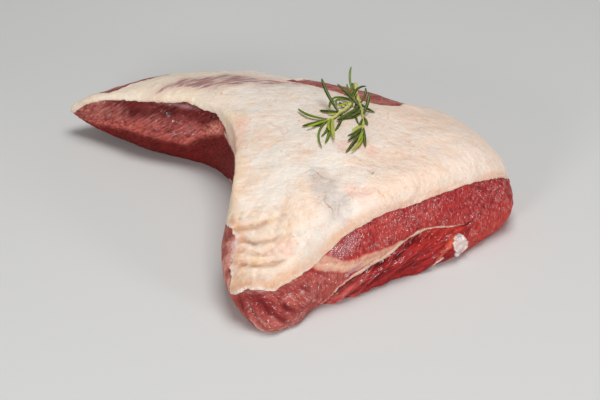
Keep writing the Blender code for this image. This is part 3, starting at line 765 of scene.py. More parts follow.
# The fat cap: firm waxy beef fat, thick over the body and thin over the tail, wrinkled at the near left
# corner where it was folded back, and streaked where the muscle shows through it at the far left.
# It stands out from the skin by its lip, tucks in below it past the rim, and its side is this far past that.
LIP = 0.5
TUCK = 1.1
SIDE = -1.6
# Its streaks run in circles round these places in plan: the body's and the tail's.
STREAK_MIDDLE = (-20.0, -190.0)
TAIL_STREAK_MIDDLE = (-25.0, -12.0)
# At its near left tip the sheet is thicker, and its edge stands up.
TIP_EDGE = [(-36, -104, 25, 2), (-34, -112, 18, 3.5), (-30, -117, 20, 3), (-22, -119.5, 24, 2)]
TIP_RISE = 1.2
# Valleys between the wrinkles, as lines on the skin with how deep each is.
VALLEYS = [
    [(-37, -84, 36.5, 1.2), (-30.9, -84.2, 38, 2.0), (-23.3, -84.2, 39.3, 1.9), (-14.3, -81.7, 42.7, 0.9),
     (-8, -80, 44.5, 0.2)],
    [(-36, -90, 34, 1.2), (-30.5, -91, 35.4, 2.4), (-24.3, -93.3, 35, 2.4), (-15.2, -93.3, 37, 1.5),
     (-7.8, -92.2, 39.4, 0.7), (0, -90, 42, 0.2)],
    [(-31.3, -96.7, 32.7, 0.8), (-28, -97.5, 32.8, 1.2), (-21.4, -100.1, 32, 1.2), (-14.9, -101.3, 32.6, 0.8),
     (-9.6, -99.7, 34.7, 0.4)],
    [(-35.5, -102, 28, 2.0), (-29.8, -103.5, 28.2, 2.8), (-19.1, -105.9, 30.1, 2.4),
     (-10.1, -105.1, 31.9, 1.7), (-7.2, -103.9, 33, 0.6), (-2, -100, 36, 0.2)],
]
# Fine cracks in the fat's outer membrane, in plan, with half their width.
CRACKS = [
    [(0, -55, 0.0), (3.5, -51.5, 0.1), (6.1, -50.7, 0.25), (8.9, -53.6, 0.3), (11.3, -56.6, 0.35),
     (12.2, -57.2, 0.1)],
    [(15.2, -61.4, 0.3), (16.3, -61.0, 0.5)],
    [(14.6, -67.7, 0.0), (13.6, -71, 0.2), (13.6, -75.3, 0.35), (15.6, -77.1, 0.4), (18, -80.2, 0.3),
     (19, -83, 0.0)],
    [(21.4, -79.4, 0.3), (21.1, -82.2, 0.2)],
    [(38.1, -52, 0.2), (40, -54.6, 0.5), (40.8, -52.7, 0.2)],
    [(26.6, -69.7, 0.0), (27.8, -72, 0.25), (30.6, -73.7, 0.1)],
    [(41.5, -66, 0.0), (43.5, -68.5, 0.2), (46, -70.6, 0.15), (47.2, -71.6, 0.0)],
]
# In plan: the thin fat that muscle shows through, and its grey, dull and rosy patches.
THIN_FAT = [
    (-92, 45, 4), (-84, 50, 6), (-74, 52, 9), (-62, 52, 12), (-50, 53, 13), (-38, 52, 11), (-25, 50, 8),
    (-12, 50, 5), (0, 48, 3),
]
GREY_FAT = [(8, -56, 5), (14, -66, 8), (20, -78, 7), (24, -86, 3)]
DULL_FAT = [(17, -86, 3), (11, -95, 4), (7.6, -100, 4), (3, -103, 2)]
ROSY_FAT = [
    [(24, -30, 5), (33, -26, 7), (40, -34, 4)],
    [(26, -66, 3), (34, -70, 5)],
    [(-14, -100, 4), (-6, -98, 5)],
    [(-36, -20, 3), (-36, 0, 5)],
]
# Round this place in plan the fat is smooth, over this reach.
SMOOTH_MIDDLE = (20, 8)
SMOOTH_REACH = 42
# A sliver of white membrane in the fat at the tail's tip.
TIP_SLIVER = [
    (-143.5, 61.5, 20.2, 0.3), (-141, 60, 21.9, 0.9), (-139, 59.7, 23.4, 0.9), (-136.5, 57.6, 25.6, 0.4),
]


def around(middle, reach):
    """Places along and across streaks that run in circles round a place in plan."""
    off = in_plan - middle
    return np.stack([np.arctan2(off[:, 0], off[:, 1]) * reach, np.linalg.norm(off, axis=1), z_at], axis=1)


over_tail = ease(-4, -16, x_at) * ease(28, 36, y_at)
streaks = np.where(over_tail[:, None] > 0.5, around(TAIL_STREAK_MIDDLE, 70), around(STREAK_MIDDLE, 200))
wrinkled = ease(10, -14, x_at) * ease(-66, -82, y_at)
thin = ease(-5, 8, inside_band(THIN_FAT, in_plan) + 4 * rough(skin_places, 9, 61))
fat_relief = 0.7 * rough(skin_places, 13.0, 1) + 0.34 * rough(skin_places, 5.5, 11)
fat_relief += 0.17 * rough(streaks, (9.0, 2.4, 4.0), 7) + 0.15 * rough(skin_places, 2.6, 17)
from_smooth = np.linalg.norm(in_plan - SMOOTH_MIDDLE, axis=1)
fat_relief *= 0.5 + 0.5 * ease(0.7, 1.1, from_smooth / SMOOTH_REACH)
lump_relief_and_shade = rough(skin_places, (9.0, 4.5, 6.0), 21)
fat_relief += wrinkled * (0.7 * lump_relief_and_shade + 0.6 * rough(skin_places, 3.6, 33) + 0.5 * rough(skin_places, 2.2, 35))
wander = 1.1 * rough(skin_places, 4.5, 71)
fat_relief = furrowed(fat_relief, VALLEYS, wander=wander, lip=0.45, lip_width=2.0, width=1.5)
# Painted shade: where the fat's relief sinks below its surroundings its colour is darkened to brown.
fat_hollow = np.clip((averaged(fat_relief, skin_edges, 10) - fat_relief) / 0.5, -1, 1)
fat_out = ease(-0.8, 0.4, inside_fat) * (LIP + TUCK) - TUCK + fat_relief * ease(0, 3, inside_fat)
fat_out += TIP_RISE * ease(-1.5, 2, inside_band(TIP_EDGE, skin_places)) * ease(-0.8, 0.6, inside_fat)

cracks = [from_line(crack, in_plan) for crack in CRACKS]
nearest_crack = np.argmin([found[0] for found in cracks], axis=0)
crack_off = np.choose(nearest_crack, [left_of_line(found) for found in cracks])
crack_half = np.choose(nearest_crack, [half_width(crack, found[3]) for crack, found in zip(CRACKS, cracks)])
rosy = inside_any(ROSY_FAT, in_plan) + 2 * rough(skin_places, 6, 81)

# Colour that follows the rim: peach over the cut's left half and its right one, the white torn edge at the
# near left tip, and the sheen under it.
rim_band = ease(9, 3, above_cut) * ease(-1, 2, above_cut) * ease(-45, -34, x_at)
rim_flush = ease(5.5, 2, above_cut) * ease(-1, 1, above_cut) * ease(25, 50, x_at)
rim_flush *= ease(-0.6, 0.4, rough(skin_places, 9, 121))
white_edge = ease(1.6, 0.4, np.abs(inside_fat)) * ease(-8, -18, x_at) * ease(-70, -82, y_at)
torn_sheen = ease(5, 2, inside_fat) * ease(-29, -33, x_at) * ease(-86, -91, y_at) * ease(-109, -104, y_at)
torn_sheen *= ease(-0.2, 0.3, rough(skin_places, 4, 37))
fat_shade = painted("#f1e6da", [
    (0.8 * ease(-0.1, 0.4, rough(skin_places, 22, 91)), "#f3d6bf"),
    (0.45 * ease(0.0, 0.5, rough(skin_places, 9, 101)), "#f3d5bc"),
    (0.5 * ease(0.0, 0.5, rough(streaks, (14, 4, 8), 131)), "#f6ebdf"),
    (0.6 * ease(-25, -70, x_at), "#f7e2c6"),
    (0.5 * ease(10, 60, x_at), "#f3d5c0"),
    (0.6 * wrinkled, "#e5cab0"),
    # The wrinkles' lumps are yellower where they stand up, and greyer where they sink: painted shade.
    (0.6 * wrinkled * ease(0.1, 0.45, lump_relief_and_shade), "#f0c99d"),
    (0.6 * wrinkled * ease(-0.15, -0.5, lump_relief_and_shade), "#dfcdc0"),
    # Painted shade: the fat's left edge by the tail's root is tan.
    (0.6 * ease(-28, -38, x_at) * ease(24, 4, y_at), "#eccba4"),
    (0.8 * rim_band * ease(70, 25, x_at), "#d9a581"),
    (0.7 * rim_flush, "#dfa98e"),
    (0.8 * ease(-5, 6, inside_band(GREY_FAT, in_plan) + 5 * rough(skin_places, 5, 111)), "#c2b6af"),
    (0.5 * ease(-4, 3, inside_band(DULL_FAT, in_plan) + 3 * rough(skin_places, 5, 113)), "#cfc1b5"),
    (0.5 * ease(-3, 4, rosy), "#f1b8a5"),
    (0.6 * thin, "#cfa9a0"),
    (0.8 * white_edge, "#f8efe8"),
    (0.7 * torn_sheen, "#ddccd0"),
    (0.8 * ease(-0.5, 0.5, inside_band(TIP_SLIVER, skin_places)), "#efe6ea"),
])
outer = skin.copy()
place_all(outer, skin_places + skin_normals * fat_out[:, None])
keep(
    outer,
    inside=inside_fat,
    depth=fat_depth,
    shade=fat_shade,
    grain=streaks,
    thin=thin,
    hollow=fat_hollow,
    crack_off=crack_off,
    crack_half=crack_half,
)

fat_shape = shape_of(outer)
inside = fat_shape.verts.layers.float["inside"]
depth = fat_shape.verts.layers.float["depth"]
bmesh.ops.delete(fat_shape, geom=[vert for vert in fat_shape.verts if vert[inside] < SIDE], context="VERTS")
fat_shape.normal_update()
wall = bmesh.ops.extrude_face_region(fat_shape, geom=fat_shape.faces[:], use_keep_orig=True)
inner = [item for item in wall["geom"] if isinstance(item, bmesh.types.BMVert)]
for vert, shift in [(vert, vert.normal * vert[depth] * MM) for vert in inner]:
    vert.co -= shift
bmesh.ops.recalc_face_normals(fat_shape, faces=fat_shape.faces)
fat_mesh = mesh_of(fat_shape, "fat_layer")
fat_mesh.shade_smooth()

# Beef fat: cream, waxy, half clear at its surface. It is peach where it is thick, and thin streaks of
# muscle show through it at the far left. Fine torn threads of its outer membrane are drawn a little wide,
# to show.
# Sizes in millimetres: a streak's length, width and depth, patches, grains, specks and the net of veins.
STREAK_SIZE = (13, 1.6, 3)
PATCH = 8
GRAIN = 2.4
SPECK = 3.2
VEINS = 20
beef_fat, tree, shader = started("beef_fat_waxy")
object_at = add_node(tree, "ShaderNodeTexCoord", "Object")
grain_at = add_node(tree, "ShaderNodeAttribute", "Vector", attribute_name="grain")
held = {
    name: add_node(tree, "ShaderNodeAttribute", "Fac", attribute_name=name)
    for name in ("thin", "hollow", "crack_off", "crack_half")
}
streak_at = add_node(tree, "ShaderNodeVectorMath", 0,
                     {0: grain_at, 1: [1 / size for size in STREAK_SIZE]}, operation="MULTIPLY")
streaky = add_node(tree, "ShaderNodeTexNoise", 0,
                   {"Vector": streak_at, "Scale": 1, "Detail": 4, "Roughness": 0.6})
patches, grainy, specks = (
    add_node(tree, "ShaderNodeTexNoise", 0, {"Vector": object_at, "Scale": 1 / (size * MM), "Detail": detail})
    for size, detail in ((PATCH, 3), (GRAIN, 3), (SPECK, 2))
)
veins = add_node(tree, "ShaderNodeTexNoise", 0,
                 {"Vector": object_at, "Scale": 1 / (VEINS * MM), "Detail": 3, "Distortion": 1.0})
vein_far = add_node(tree, "ShaderNodeMath", 0, {0: veins, 1: 0.5}, operation="SUBTRACT")
vein_near = add_node(tree, "ShaderNodeMath", 0, {0: vein_far}, operation="ABSOLUTE")
wobble = add_node(tree, "ShaderNodeMath", 0, {0: grainy, 1: 3.0, 2: -1.5}, operation="MULTIPLY_ADD")
crack_far = add_node(tree, "ShaderNodeMath", 0, {0: held["crack_off"], 1: wobble}, operation="ADD")
crack_far = add_node(tree, "ShaderNodeMath", 0, {0: crack_far}, operation="ABSOLUTE")
in_crack = add_node(tree, "ShaderNodeMath", 0, {0: held["crack_half"], 1: crack_far}, operation="SUBTRACT")
showing = add_node(tree, "ShaderNodeMath", 0, {0: held["thin"], 1: streaky}, operation="MULTIPLY")

colour = add_node(tree, "ShaderNodeAttribute", "Color", attribute_name="shade")
# Each row: what is measured, where it starts and is full, the most that it covers, and its colour.
for value, low, high, most, shade in (
    (patches, 0.52, 0.68, 0.22, "#f3d0b4"),
    (patches, 0.46, 0.32, 0.3, "#ebe3da"),
    (grainy, 0.54, 0.7, 0.2, "#ecc7a6"),
    (grainy, 0.45, 0.3, 0.25, "#fbf5ee"),
    (showing, 0.38, 0.56, 0.85, "#906067"),
    (streaky, 0.58, 0.72, 0.3, "#e3b78f"),
    (vein_near, 0.012, 0.002, 0.28, "#de9a78"),
    # Painted shade in the hollows of the fat's relief.
    (held["hollow"], 0.1, 1.0, 0.6, "#c29474"),
    (specks, 0.68, 0.76, 0.5, "#dc9266"),
    (in_crack, -0.2, 0.3, 0.65, "#a56a3e"),
):
    share = add_node(tree, "ShaderNodeMapRange", 0,
                     {"Value": value, "From Min": low, "From Max": high, "To Max": most})
    colour = add_node(tree, "ShaderNodeMix", 2, {0: share, 6: colour, 7: linear(shade)}, data_type="RGBA")
streak_bump = add_node(tree, "ShaderNodeBump", 0, {"Strength": 0.6, "Distance": 0.5 * MM, "Height": streaky})
grain_bump = add_node(tree, "ShaderNodeBump", 0,
                      {"Strength": 0.8, "Distance": 0.6 * MM, "Height": grainy, "Normal": streak_bump})
feed(tree, shader, {
    "Base Color": colour,
    "Normal": grain_bump,
    "Roughness": 0.5,
    "Specular IOR Level": 0.3,
    "Coat Normal": grain_bump,
    "Coat Weight": 0.25,
    "Coat Roughness": 0.2,
    "Coat IOR": 1.4,
    "Subsurface Weight": 0.15,
    "Subsurface Radius": (1.0, 0.6, 0.4),
    "Subsurface Scale": 2.5 * MM,
})

fat_mesh.materials.clear()
fat_mesh.materials.append(beef_fat)
fat = placed("fat_layer", fat_mesh)
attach(fat, "root")
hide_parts("fat_cap")

# The tag: a loose flake of white fat at the right end of the seam, left hanging where the knife passed. It
# is joined to the lean at its back and stands off it at its edges.
# Height up the face, then how far along the face its left and right edges lie.
TAG_ROWS = [
    (2.6, 128.2, 129.6), (4.5, 127.2, 132.6), (7.1, 126.2, 135.6), (10.5, 124.4, 134.9), (13.2, 124.2, 133.6),
    (15.2, 126.0, 132.4), (17.4, 128.4, 129.9),
]
TAG_THICK = 1.5
TAG_STANDS = 1.3
TAG_GRID = (16, 22)
LOOK_FROM = 30

lean_tree = tree_of(shape_of(lean_mesh))
tag_shape = bmesh.new()
bmesh.ops.create_grid(tag_shape, x_segments=TAG_GRID[0], y_segments=TAG_GRID[1], size=1)
heights = [row[0] for row in TAG_ROWS]
look_back = Vector((-FACE_OUT[0], -FACE_OUT[1], 0))
for vert in tag_shape.verts:
    across, up = vert.co.x, vert.co.y
    height = np.interp((up + 1) / 2, (0, 1), (heights[0], heights[-1]))
    left, right = (np.interp(height, heights, [row[k] for row in TAG_ROWS]) for k in (1, 2))
    frayed = 1.9 * noise.noise(Vector((3 * across, 6 * up, 5)))
    place = FACE_START + FACE_ALONG * (left + (right - left) * (across + 1) / 2 + frayed)
    out_there = Vector((*(place - START[:2]), height)) * MM - look_back * LOOK_FROM * MM
    found = lean_tree.ray_cast(out_there, look_back)[0]
    curl = 0.2 + TAG_STANDS * max(abs(across), abs(up)) ** 2
    curl += 0.4 * noise.noise(Vector((2 * across, 2 * up, 0)))
    vert.co = found - look_back * curl * MM
tag_shape.normal_update()
back = bmesh.ops.extrude_face_region(tag_shape, geom=tag_shape.faces[:], use_keep_orig=True)
for item in back["geom"]:
    if isinstance(item, bmesh.types.BMVert):
        item.co += look_back * TAG_THICK * MM
bmesh.ops.recalc_face_normals(tag_shape, faces=tag_shape.faces)
tag_mesh = mesh_of(tag_shape, "fat_tag")
tag_mesh.shade_smooth()

# The same fat, but whiter, because there is no membrane on it and it was just cut. Its clouds are this wide.
CLOUD = 4
cut_fat, tree, shader = started("beef_fat_fresh_cut")
object_at = add_node(tree, "ShaderNodeTexCoord", "Object")
cloudy = add_node(tree, "ShaderNodeTexNoise", 0,
                  {"Vector": object_at, "Scale": 1 / (CLOUD * MM), "Detail": 1})
cloud_share = add_node(tree, "ShaderNodeMapRange", 0, {"Value": cloudy, "From Min": 0.35, "From Max": 0.65})
colour = add_node(tree, "ShaderNodeMix", 2, {0: cloud_share, 6: linear("#d9bcb6"), 7: linear("#f3e6e2")},
                  data_type="RGBA")
cloud_bump = add_node(tree, "ShaderNodeBump", 0, {"Strength": 0.5, "Distance": 0.5 * MM, "Height": cloudy})
feed(tree, shader, {
    "Base Color": colour,
    "Normal": cloud_bump,
    "Roughness": 0.4,
    "Subsurface Weight": 0.2,
    "Subsurface Radius": (1.0, 0.6, 0.5),
    "Subsurface Scale": 2 * MM,
})
tag_mesh.materials.append(cut_fat)
tag = placed("fat_tag", tag_mesh)
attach(tag, "root")
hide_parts("lean_meat")

# The rosemary's stems: a woody twig, cut across at its upper end, that forks into two soft green tips. They
# are square-edged and knobbly where leaves grow from them, and lie on the fat.
# Each row: x, y, height of the stem's middle over the meat, and radius.
STEMS = (
    (
        (30.5, 42.1, 6.5, 1.5), (30.8, 34.5, 4.5, 1.3), (31.7, 26.5, 3.3, 1.1), (32.7, 20.2, 2.6, 0.95),
        (33.8, 11.6, 2.2, 0.9), (34.6, 2.6, 2.0, 0.85), (34.7, -5.5, 1.8, 0.8), (34.4, -12.0, 1.6, 0.7),
        (33.7, -16.0, 1.4, 0.6),
    ),
    (
        (30.8, 34.5, 4.5, 1.0), (29.1, 24.3, 3.4, 1.0), (27.8, 17.9, 2.8, 1.2), (24.8, 10.4, 2.4, 1.3),
        (21.5, 5.2, 2.2, 1.2), (18.3, -0.6, 2.0, 1.1), (15.4, -3.3, 1.8, 0.9), (13.2, -5.0, 1.5, 0.7),
    ),
)
STEM_SIDES = 14
STEM_RINGS = 60
KNOT_EVERY = 0.09
STEP = 0.02


def curve_through(knots, values, x):
    """A smooth line through values at knots, read at x."""
    last = len(knots) - 2
    i = 0
    while i < last and x > knots[i + 1]:
        i += 1
    x0, x1 = knots[i], knots[i + 1]
    y0, y1 = values[i], values[i + 1]
    chord = (y1 - y0) / (x1 - x0)
    slope0 = chord if i == 0 else (y1 - values[i - 1]) / (x1 - knots[i - 1])
    slope1 = chord if i == last else (values[i + 2] - y0) / (knots[i + 2] - x0)
    u = (x - x0) / (x1 - x0)
    span = x1 - x0
    start = y0 * (1 + 2 * u) * (1 - u) ** 2 + slope0 * span * u * (1 - u) ** 2
    end = y1 * u * u * (3 - 2 * u) + slope1 * span * u * u * (u - 1)
    return start + end


def top_at(trees, x, y):
    """The height of the highest surface at a place in plan."""
    above = Vector((x - START[0], y - START[1], 200)) * MM
    hits = [surface.ray_cast(above, Vector((0, 0, -1)))[0] for surface in trees]
    return max([hit.z / MM for hit in hits if hit] or [0])


def stem_line(points):
    """A stem's middle line and radius, read at a share of its length."""
    flats = [Vector(point[:2]) for point in points]
    run = [0.0]
    for one, other in zip(flats, flats[1:]):
        run.append(run[-1] + (other - one).length)
    knots = [length / run[-1] for length in run]

    def centre(share):
        x, y, over = (curve_through(knots, [point[k] for point in points], share) for k in (0, 1, 2))
        return Vector((x, y, top_at(packed_trees, x, y) + over))

    def radius(share):
        return curve_through(knots, [point[3] for point in points], share)

    return centre, radius


def unit_tube(sides, rings):
    """A closed tube 1 round and 1 long, with rings along it, for moving onto a middle line."""
    tube = bmesh.new()
    bmesh.ops.create_cone(tube, cap_ends=True, segments=sides, radius1=1, radius2=1, depth=1)
    long_edges = [edge for edge in tube.edges if abs(edge.verts[0].co.z - edge.verts[1].co.z) > 0.5]
    bmesh.ops.subdivide_edges(tube, edges=long_edges, cuts=rings - 1)
    return tube


def frame_at(centre, share):
    """The way to the side of a middle line, and its up."""
    ahead = (centre(min(share + STEP, 1)) - centre(max(share - STEP, 0))).normalized()
    side = ahead.cross(Vector((0, 0, 1))).normalized()
    return side, side.cross(ahead)


def to_metres(shape):
    bmesh.ops.translate(shape, verts=shape.verts, vec=-Vector(START))
    bmesh.ops.scale(shape, verts=shape.verts, vec=(MM, MM, MM))
    bmesh.ops.recalc_face_normals(shape, faces=shape.faces)


stem_lines = [stem_line(points) for points in STEMS]
stems_shape = bmesh.new()
stems_shape.verts.layers.float_vector.new("along")
for number, (centre, radius) in enumerate(stem_lines):
    tube = unit_tube(STEM_SIDES, STEM_RINGS)
    spot = tube.verts.layers.float_vector.new("along")
    for vert in tube.verts:
        share = vert.co.z + 0.5
        side, up = frame_at(centre, share)
        round_it = math.atan2(vert.co.y, vert.co.x)
        knot = math.exp(-(((share / KNOT_EVERY + 0.5) % 1 - 0.5) / 0.16) ** 2)
        wide = radius(share) * (0.92 + 0.06 * math.cos(4 * round_it) + 0.16 * knot)
        ripple = 1 + 0.08 * noise.noise(Vector((vert.co.x, vert.co.y, 30 * share + 9 * number)))
        vert[spot] = (number, share, round_it)
        vert.co = centre(share) + (side * vert.co.x + up * vert.co.y) * wide * ripple
    stems_shape.from_mesh(mesh_of(tube, "stem"))
to_metres(stems_shape)
stems_mesh = mesh_of(stems_shape, "rosemary_stems")
stems_mesh.shade_smooth()

# Young rosemary wood: yellow-green and finely ridged along its length, pale straw at the woody cut end.
stem_bark, tree, shader = started("rosemary_young_bark")
along_at = add_node(tree, "ShaderNodeAttribute", "Vector", attribute_name="along")
share_along = add_node(tree, "ShaderNodeSeparateXYZ", "Y", {0: along_at})
ridge_at = add_node(tree, "ShaderNodeVectorMath", 0, {0: along_at, 1: (3, 9, 2.5)}, operation="MULTIPLY")
ridges = add_node(tree, "ShaderNodeTexNoise", 0, {"Vector": ridge_at, "Scale": 1.5, "Detail": 3})
ridge_share = add_node(tree, "ShaderNodeMapRange", 0, {"Value": ridges, "From Min": 0.35, "From Max": 0.65})
green, straw = (
    add_node(tree, "ShaderNodeMix", 2, {0: ridge_share, 6: linear(dip), 7: linear(ridge)}, data_type="RGBA")
    for dip, ridge in (("#97993e", "#dedb88"), ("#b0a24a", "#efe59a"))
)
woody = add_node(tree, "ShaderNodeMapRange", 0, {"Value": share_along, "From Min": 0.5, "From Max": 0.1})
colour = add_node(tree, "ShaderNodeMix", 2, {0: woody, 6: green, 7: straw}, data_type="RGBA")
ridge_bump = add_node(tree, "ShaderNodeBump", 0, {"Strength": 0.5, "Distance": 0.3 * MM, "Height": ridges})
feed(tree, shader, {"Base Color": colour, "Normal": ridge_bump, "Roughness": 0.55})
stems_mesh.materials.append(stem_bark)
stems = placed("rosemary_stems", stems_mesh)
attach(stems, "root")
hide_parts("rosemary_sprig")

# The rosemary's leaves: narrow, leathery, dark and glossy above with a groove down the middle, pale and
# felted beneath, with edges rolled under. They grow straight from the stems, young pale ones at the tips.
# Each row: stem, share along it, heading in degrees from +X, reach, rise of tip, sideways bow, width, tone.
DARK, MID, LIGHT, PALE = range(4)
LEAVES = (
    (1, 0.72, 119, 23.2, 11.0, 3.1, 2.2, DARK), (1, 0.94, 145, 22.8, -1.5, 7.6, 1.9, MID),
    (1, 0.98, -163, 15.2, -1.8, 0.7, 2.2, DARK), (1, 0.95, -146, 15.5, 0.1, 2.2, 1.7, LIGHT),
    (1, 0.99, -153, 9.6, -1.8, 4.4, 1.7, DARK), (1, 0.97, -96, 29.0, -0.5, -7.2, 1.3, MID),
    (1, 0.96, -103, 17.7, -0.9, 3.0, 1.4, MID), (1, 0.93, -96, 25.7, -0.3, 2.4, 2.0, MID),
    (1, 0.92, -93, 16.1, 2.2, -2.2, 1.6, LIGHT), (1, 0.89, -88, 24.8, 1.9, -1.0, 2.2, PALE),
    (1, 0.67, -100, 21.7, -0.2, 2.6, 1.7, DARK), (0, 0.46, -124, 25.2, 2.2, 2.5, 2.6, DARK),
    (0, 0.53, -129, 17.3, 0.2, 4.7, 2.2, DARK), (1, 0.68, 169, 12.9, -1.0, 2.9, 2.2, DARK),
    (1, 0.74, 178, 6.7, -0.6, 2.1, 1.5, LIGHT), (1, 0.38, -145, 10.1, 0.5, 0.7, 1.6, LIGHT),
    (1, 0.48, 135, 7.7, -0.8, 3.2, 1.2, DARK), (1, 0.31, -148, 15.7, -0.8, -13.7, 1.7, MID),
    (1, 0.34, -133, 13.0, 2.2, -10.2, 1.5, MID), (0, 0.54, 129, 23.1, 6.0, -0.2, 2.2, DARK),
    (1, 0.29, 28, 8.9, 7.0, 6.4, 2.0, DARK), (1, 0.21, 124, 7.4, 5.0, 2.3, 1.3, MID),
    (1, 0.17, 97, 16.9, 10.0, 3.4, 1.4, MID), (0, 0.15, 107, 6.9, 3.0, 2.1, 1.8, DARK),
    (0, 0.42, 67, 7.6, 7.0, -2.7, 1.6, DARK), (0, 0.67, 73, 11.8, 9.0, -1.7, 2.0, DARK),
    (0, 0.40, -49, 13.8, 0.2, -3.1, 1.8, DARK), (0, 0.32, -90, 30.2, 1.0, -4.1, 1.4, DARK),
    (0, 0.70, -74, 9.2, 0.0, 0.1, 1.9, DARK), (0, 0.28, 145, 7.0, -0.2, 2.4, 1.6, DARK),
    (0, 0.89, -87, 21.2, -0.5, 0.0, 2.0, DARK), (0, 0.88, -129, 10.4, 1.5, 0.2, 2.2, PALE),
    (0, 0.92, -135, 12.4, -0.5, 1.5, 1.6, DARK), (0, 0.95, -122, 16.0, 0.8, 0.6, 1.8, DARK),
    (0, 0.97, -112, 25.3, -0.1, 0.9, 1.9, DARK), (0, 0.99, -106, 22.9, 1.0, 4.7, 1.8, LIGHT),
    (0, 0.96, -100, 16.2, 2.6, 1.2, 1.6, LIGHT), (0, 0.74, -108, 8.5, 0.1, 0.5, 1.5, DARK),
)
LEAF_TONES = ("#2a3f03", "#58730b", "#a3b02a", "#b9bf55")
LEAF_UNDERSIDE = "#a5ab78"
LEAF_THICKNESS = 0.5
LEAF_ARCH = 0.8
LEAF_CLEAR = 0.15
# The fat's relief stands up to this much over the skin.
RELIEF_ROOM = 0.4
LEAF_SIDES = 16
LEAF_RINGS = 20
skin_trees = [tree_of(shape_of(skin))]


def leaf_line(base, heading, reach, rise, bow, width):
    """A leaf's middle line, an arch that stays clear of the fat, and its size along it."""
    ahead = Vector((math.cos(math.radians(heading)), math.sin(math.radians(heading)), 0))
    side = Vector((-ahead.y, ahead.x, 0))
    tip = base + ahead * reach + Vector((0, 0, rise))
    pull = (base + tip) / 2 + side * bow + Vector((0, 0, 2 * LEAF_ARCH))
    half = width / 2

    def size(share):
        swell = 0.55 + 0.45 * math.sin(math.pi * min(share * 2, 1) / 2)
        taper = math.sqrt(max(0.0, 1 - max(0.0, (share - 0.55) / 0.45) ** 2.4))
        return half * swell * (0.12 + 0.88 * taper)

    def centre(share):
        place = base * (1 - share) ** 2 + pull * 2 * share * (1 - share) + tip * share * share
        thick = size(share) * LEAF_THICKNESS
        over_packed = top_at(packed_trees, place.x, place.y) + RELIEF_ROOM
        over_skin = top_at(skin_trees, place.x, place.y) + LIP + RELIEF_ROOM
        lowest = max(over_packed, over_skin) + thick + LEAF_CLEAR
        return Vector((place.x, place.y, max(place.z, lowest)))

    return centre, size


felt = Vector(linear(LEAF_UNDERSIDE)[:3])
leaves_shape = bmesh.new()
leaves_shape.verts.layers.float_vector.new("leaf")
leaves_shape.verts.layers.float_vector.new("shade")
for number, (stem, share_along, heading, reach, rise, bow, width, tone) in enumerate(LEAVES):
    centre, size = leaf_line(stem_lines[stem][0](share_along), heading, reach, rise, bow, width)
    tube = unit_tube(LEAF_SIDES, LEAF_RINGS)
    spot = tube.verts.layers.float_vector.new("leaf")
    shade = tube.verts.layers.float_vector.new("shade")
    upper = Vector(linear(LEAF_TONES[tone])[:3])
    lines = {}
    for vert in tube.verts:
        across, up_down, share = vert.co.x, vert.co.y, vert.co.z + 0.5
        if round(share, 4) not in lines:
            lines[round(share, 4)] = (centre(share), *frame_at(centre, share), size(share))
        middle, side, up, half = lines[round(share, 4)]
        groove = 0.5 * math.exp(-(across / 0.3) ** 2) * (up_down > 0)
        rolled = 0.3 * across * across
        lift = (up_down * (1 - groove) - rolled) * half * LEAF_THICKNESS * 1.15
        vert[spot] = (number + across / 4, share, up_down)
        rib = 0.5 * math.exp(-(across / 0.25) ** 2) if up_down > 0 else 0.0
        vert[shade] = upper.lerp(felt, 0.85 if up_down < -0.3 else rib)
        vert.co = middle + side * across * half + up * lift
    leaves_shape.from_mesh(mesh_of(tube, "leaf"))
to_metres(leaves_shape)
leaves_mesh = mesh_of(leaves_shape, "rosemary_leaves")
leaves_mesh.shade_smooth()

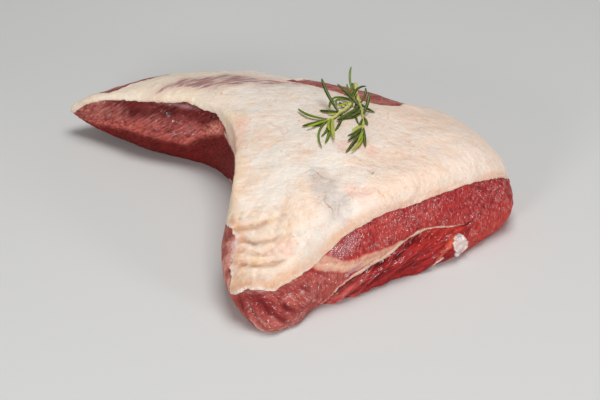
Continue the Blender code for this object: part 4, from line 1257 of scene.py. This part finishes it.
# Rosemary leaf: leathery, with a soft waxy shine. Its colour varies along each leaf and from the middle.
leaf_skin, tree, shader = started("rosemary_leaf_skin")
leaf_at = add_node(tree, "ShaderNodeAttribute", "Vector", attribute_name="leaf")
vary_at = add_node(tree, "ShaderNodeVectorMath", 0, {0: leaf_at, 1: (9, 5, 1)}, operation="MULTIPLY")
vary = add_node(tree, "ShaderNodeTexNoise", 0, {"Vector": vary_at, "Scale": 1, "Detail": 3})
colour = add_node(tree, "ShaderNodeAttribute", "Color", attribute_name="shade")
for high, most, shade in ((0.75, 0.5, "#1d2f06"), (0.25, 0.45, "#a3b23c")):
    share = add_node(tree, "ShaderNodeMapRange", 0,
                     {"Value": vary, "From Min": 0.5, "From Max": high, "To Max": most})
    colour = add_node(tree, "ShaderNodeMix", 2, {0: share, 6: colour, 7: linear(shade)}, data_type="RGBA")
leaf_bump = add_node(tree, "ShaderNodeBump", 0, {"Strength": 0.4, "Distance": 0.2 * MM, "Height": vary})
feed(tree, shader, {"Base Color": colour, "Normal": leaf_bump, "Roughness": 0.33, "Specular IOR Level": 0.15})
leaves_mesh.materials.append(leaf_skin)
leaves = placed("rosemary_leaves", leaves_mesh)
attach(leaves, "root")
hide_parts("rosemary_sprig")

# The floor, which isn't part of the meat: a wide sheet of pale plain paper that the meat lies on. It is
# only there to catch the shadows, and reaches this far each way, in metres.
FLOOR_REACH = 3
floor_shape = bmesh.new()
bmesh.ops.create_grid(floor_shape, x_segments=1, y_segments=1, size=FLOOR_REACH)
floor_mesh = mesh_of(floor_shape, "floor")
floor = placed("floor", floor_mesh)
paper, tree, shader = started("pale_paper")
feed(tree, shader, {"Base Color": linear("#d6d6d4"), "Roughness": 0.9})
floor_mesh.materials.append(paper)

# Soft light: a large lamp overhead, a small one low on the near right that makes the glints on the cut, one
# on the near left, and an even pale sky. Each row: name, place and side in metres, and power in watts.
for name, place, size, power in (
    ("overhead", (0.1, 0.0, 1.15), 0.6, 8.3),
    ("near_right", (0.78, -0.64, 0.22), 0.26, 3.2),
    ("near_left", (-0.45, -0.9, 0.34), 0.28, 4.3),
):
    lamp = bpy.data.lights.new(name, "AREA")
    lamp.size = size
    lamp.energy = power
    holder = placed(name, lamp)
    holder.location = place
    holder.rotation_euler = (-Vector(place)).to_track_quat("-Z", "Y").to_euler()
sky = bpy.data.worlds.new("sky")
sky.use_nodes = True
sky.node_tree.nodes["Background"].inputs["Color"].default_value = (1, 1, 1, 1)
sky.node_tree.nodes["Background"].inputs["Strength"].default_value = 0.17
bpy.context.scene.world = sky
bpy.context.scene.view_settings.view_transform = "Standard"

# The camera, where it stood for the photograph: its place in metres and its turn in degrees.
lens = bpy.data.cameras.new("camera")
lens.sensor_width = 36
lens.lens = 93.97
lens.clip_end = 20
camera = placed("camera", lens)
camera.location = (0.0105, -0.76137, 0.54051)
camera.rotation_euler = [math.radians(angle) for angle in (55.134, -1.967, 1.370)]
bpy.context.scene.camera = camera
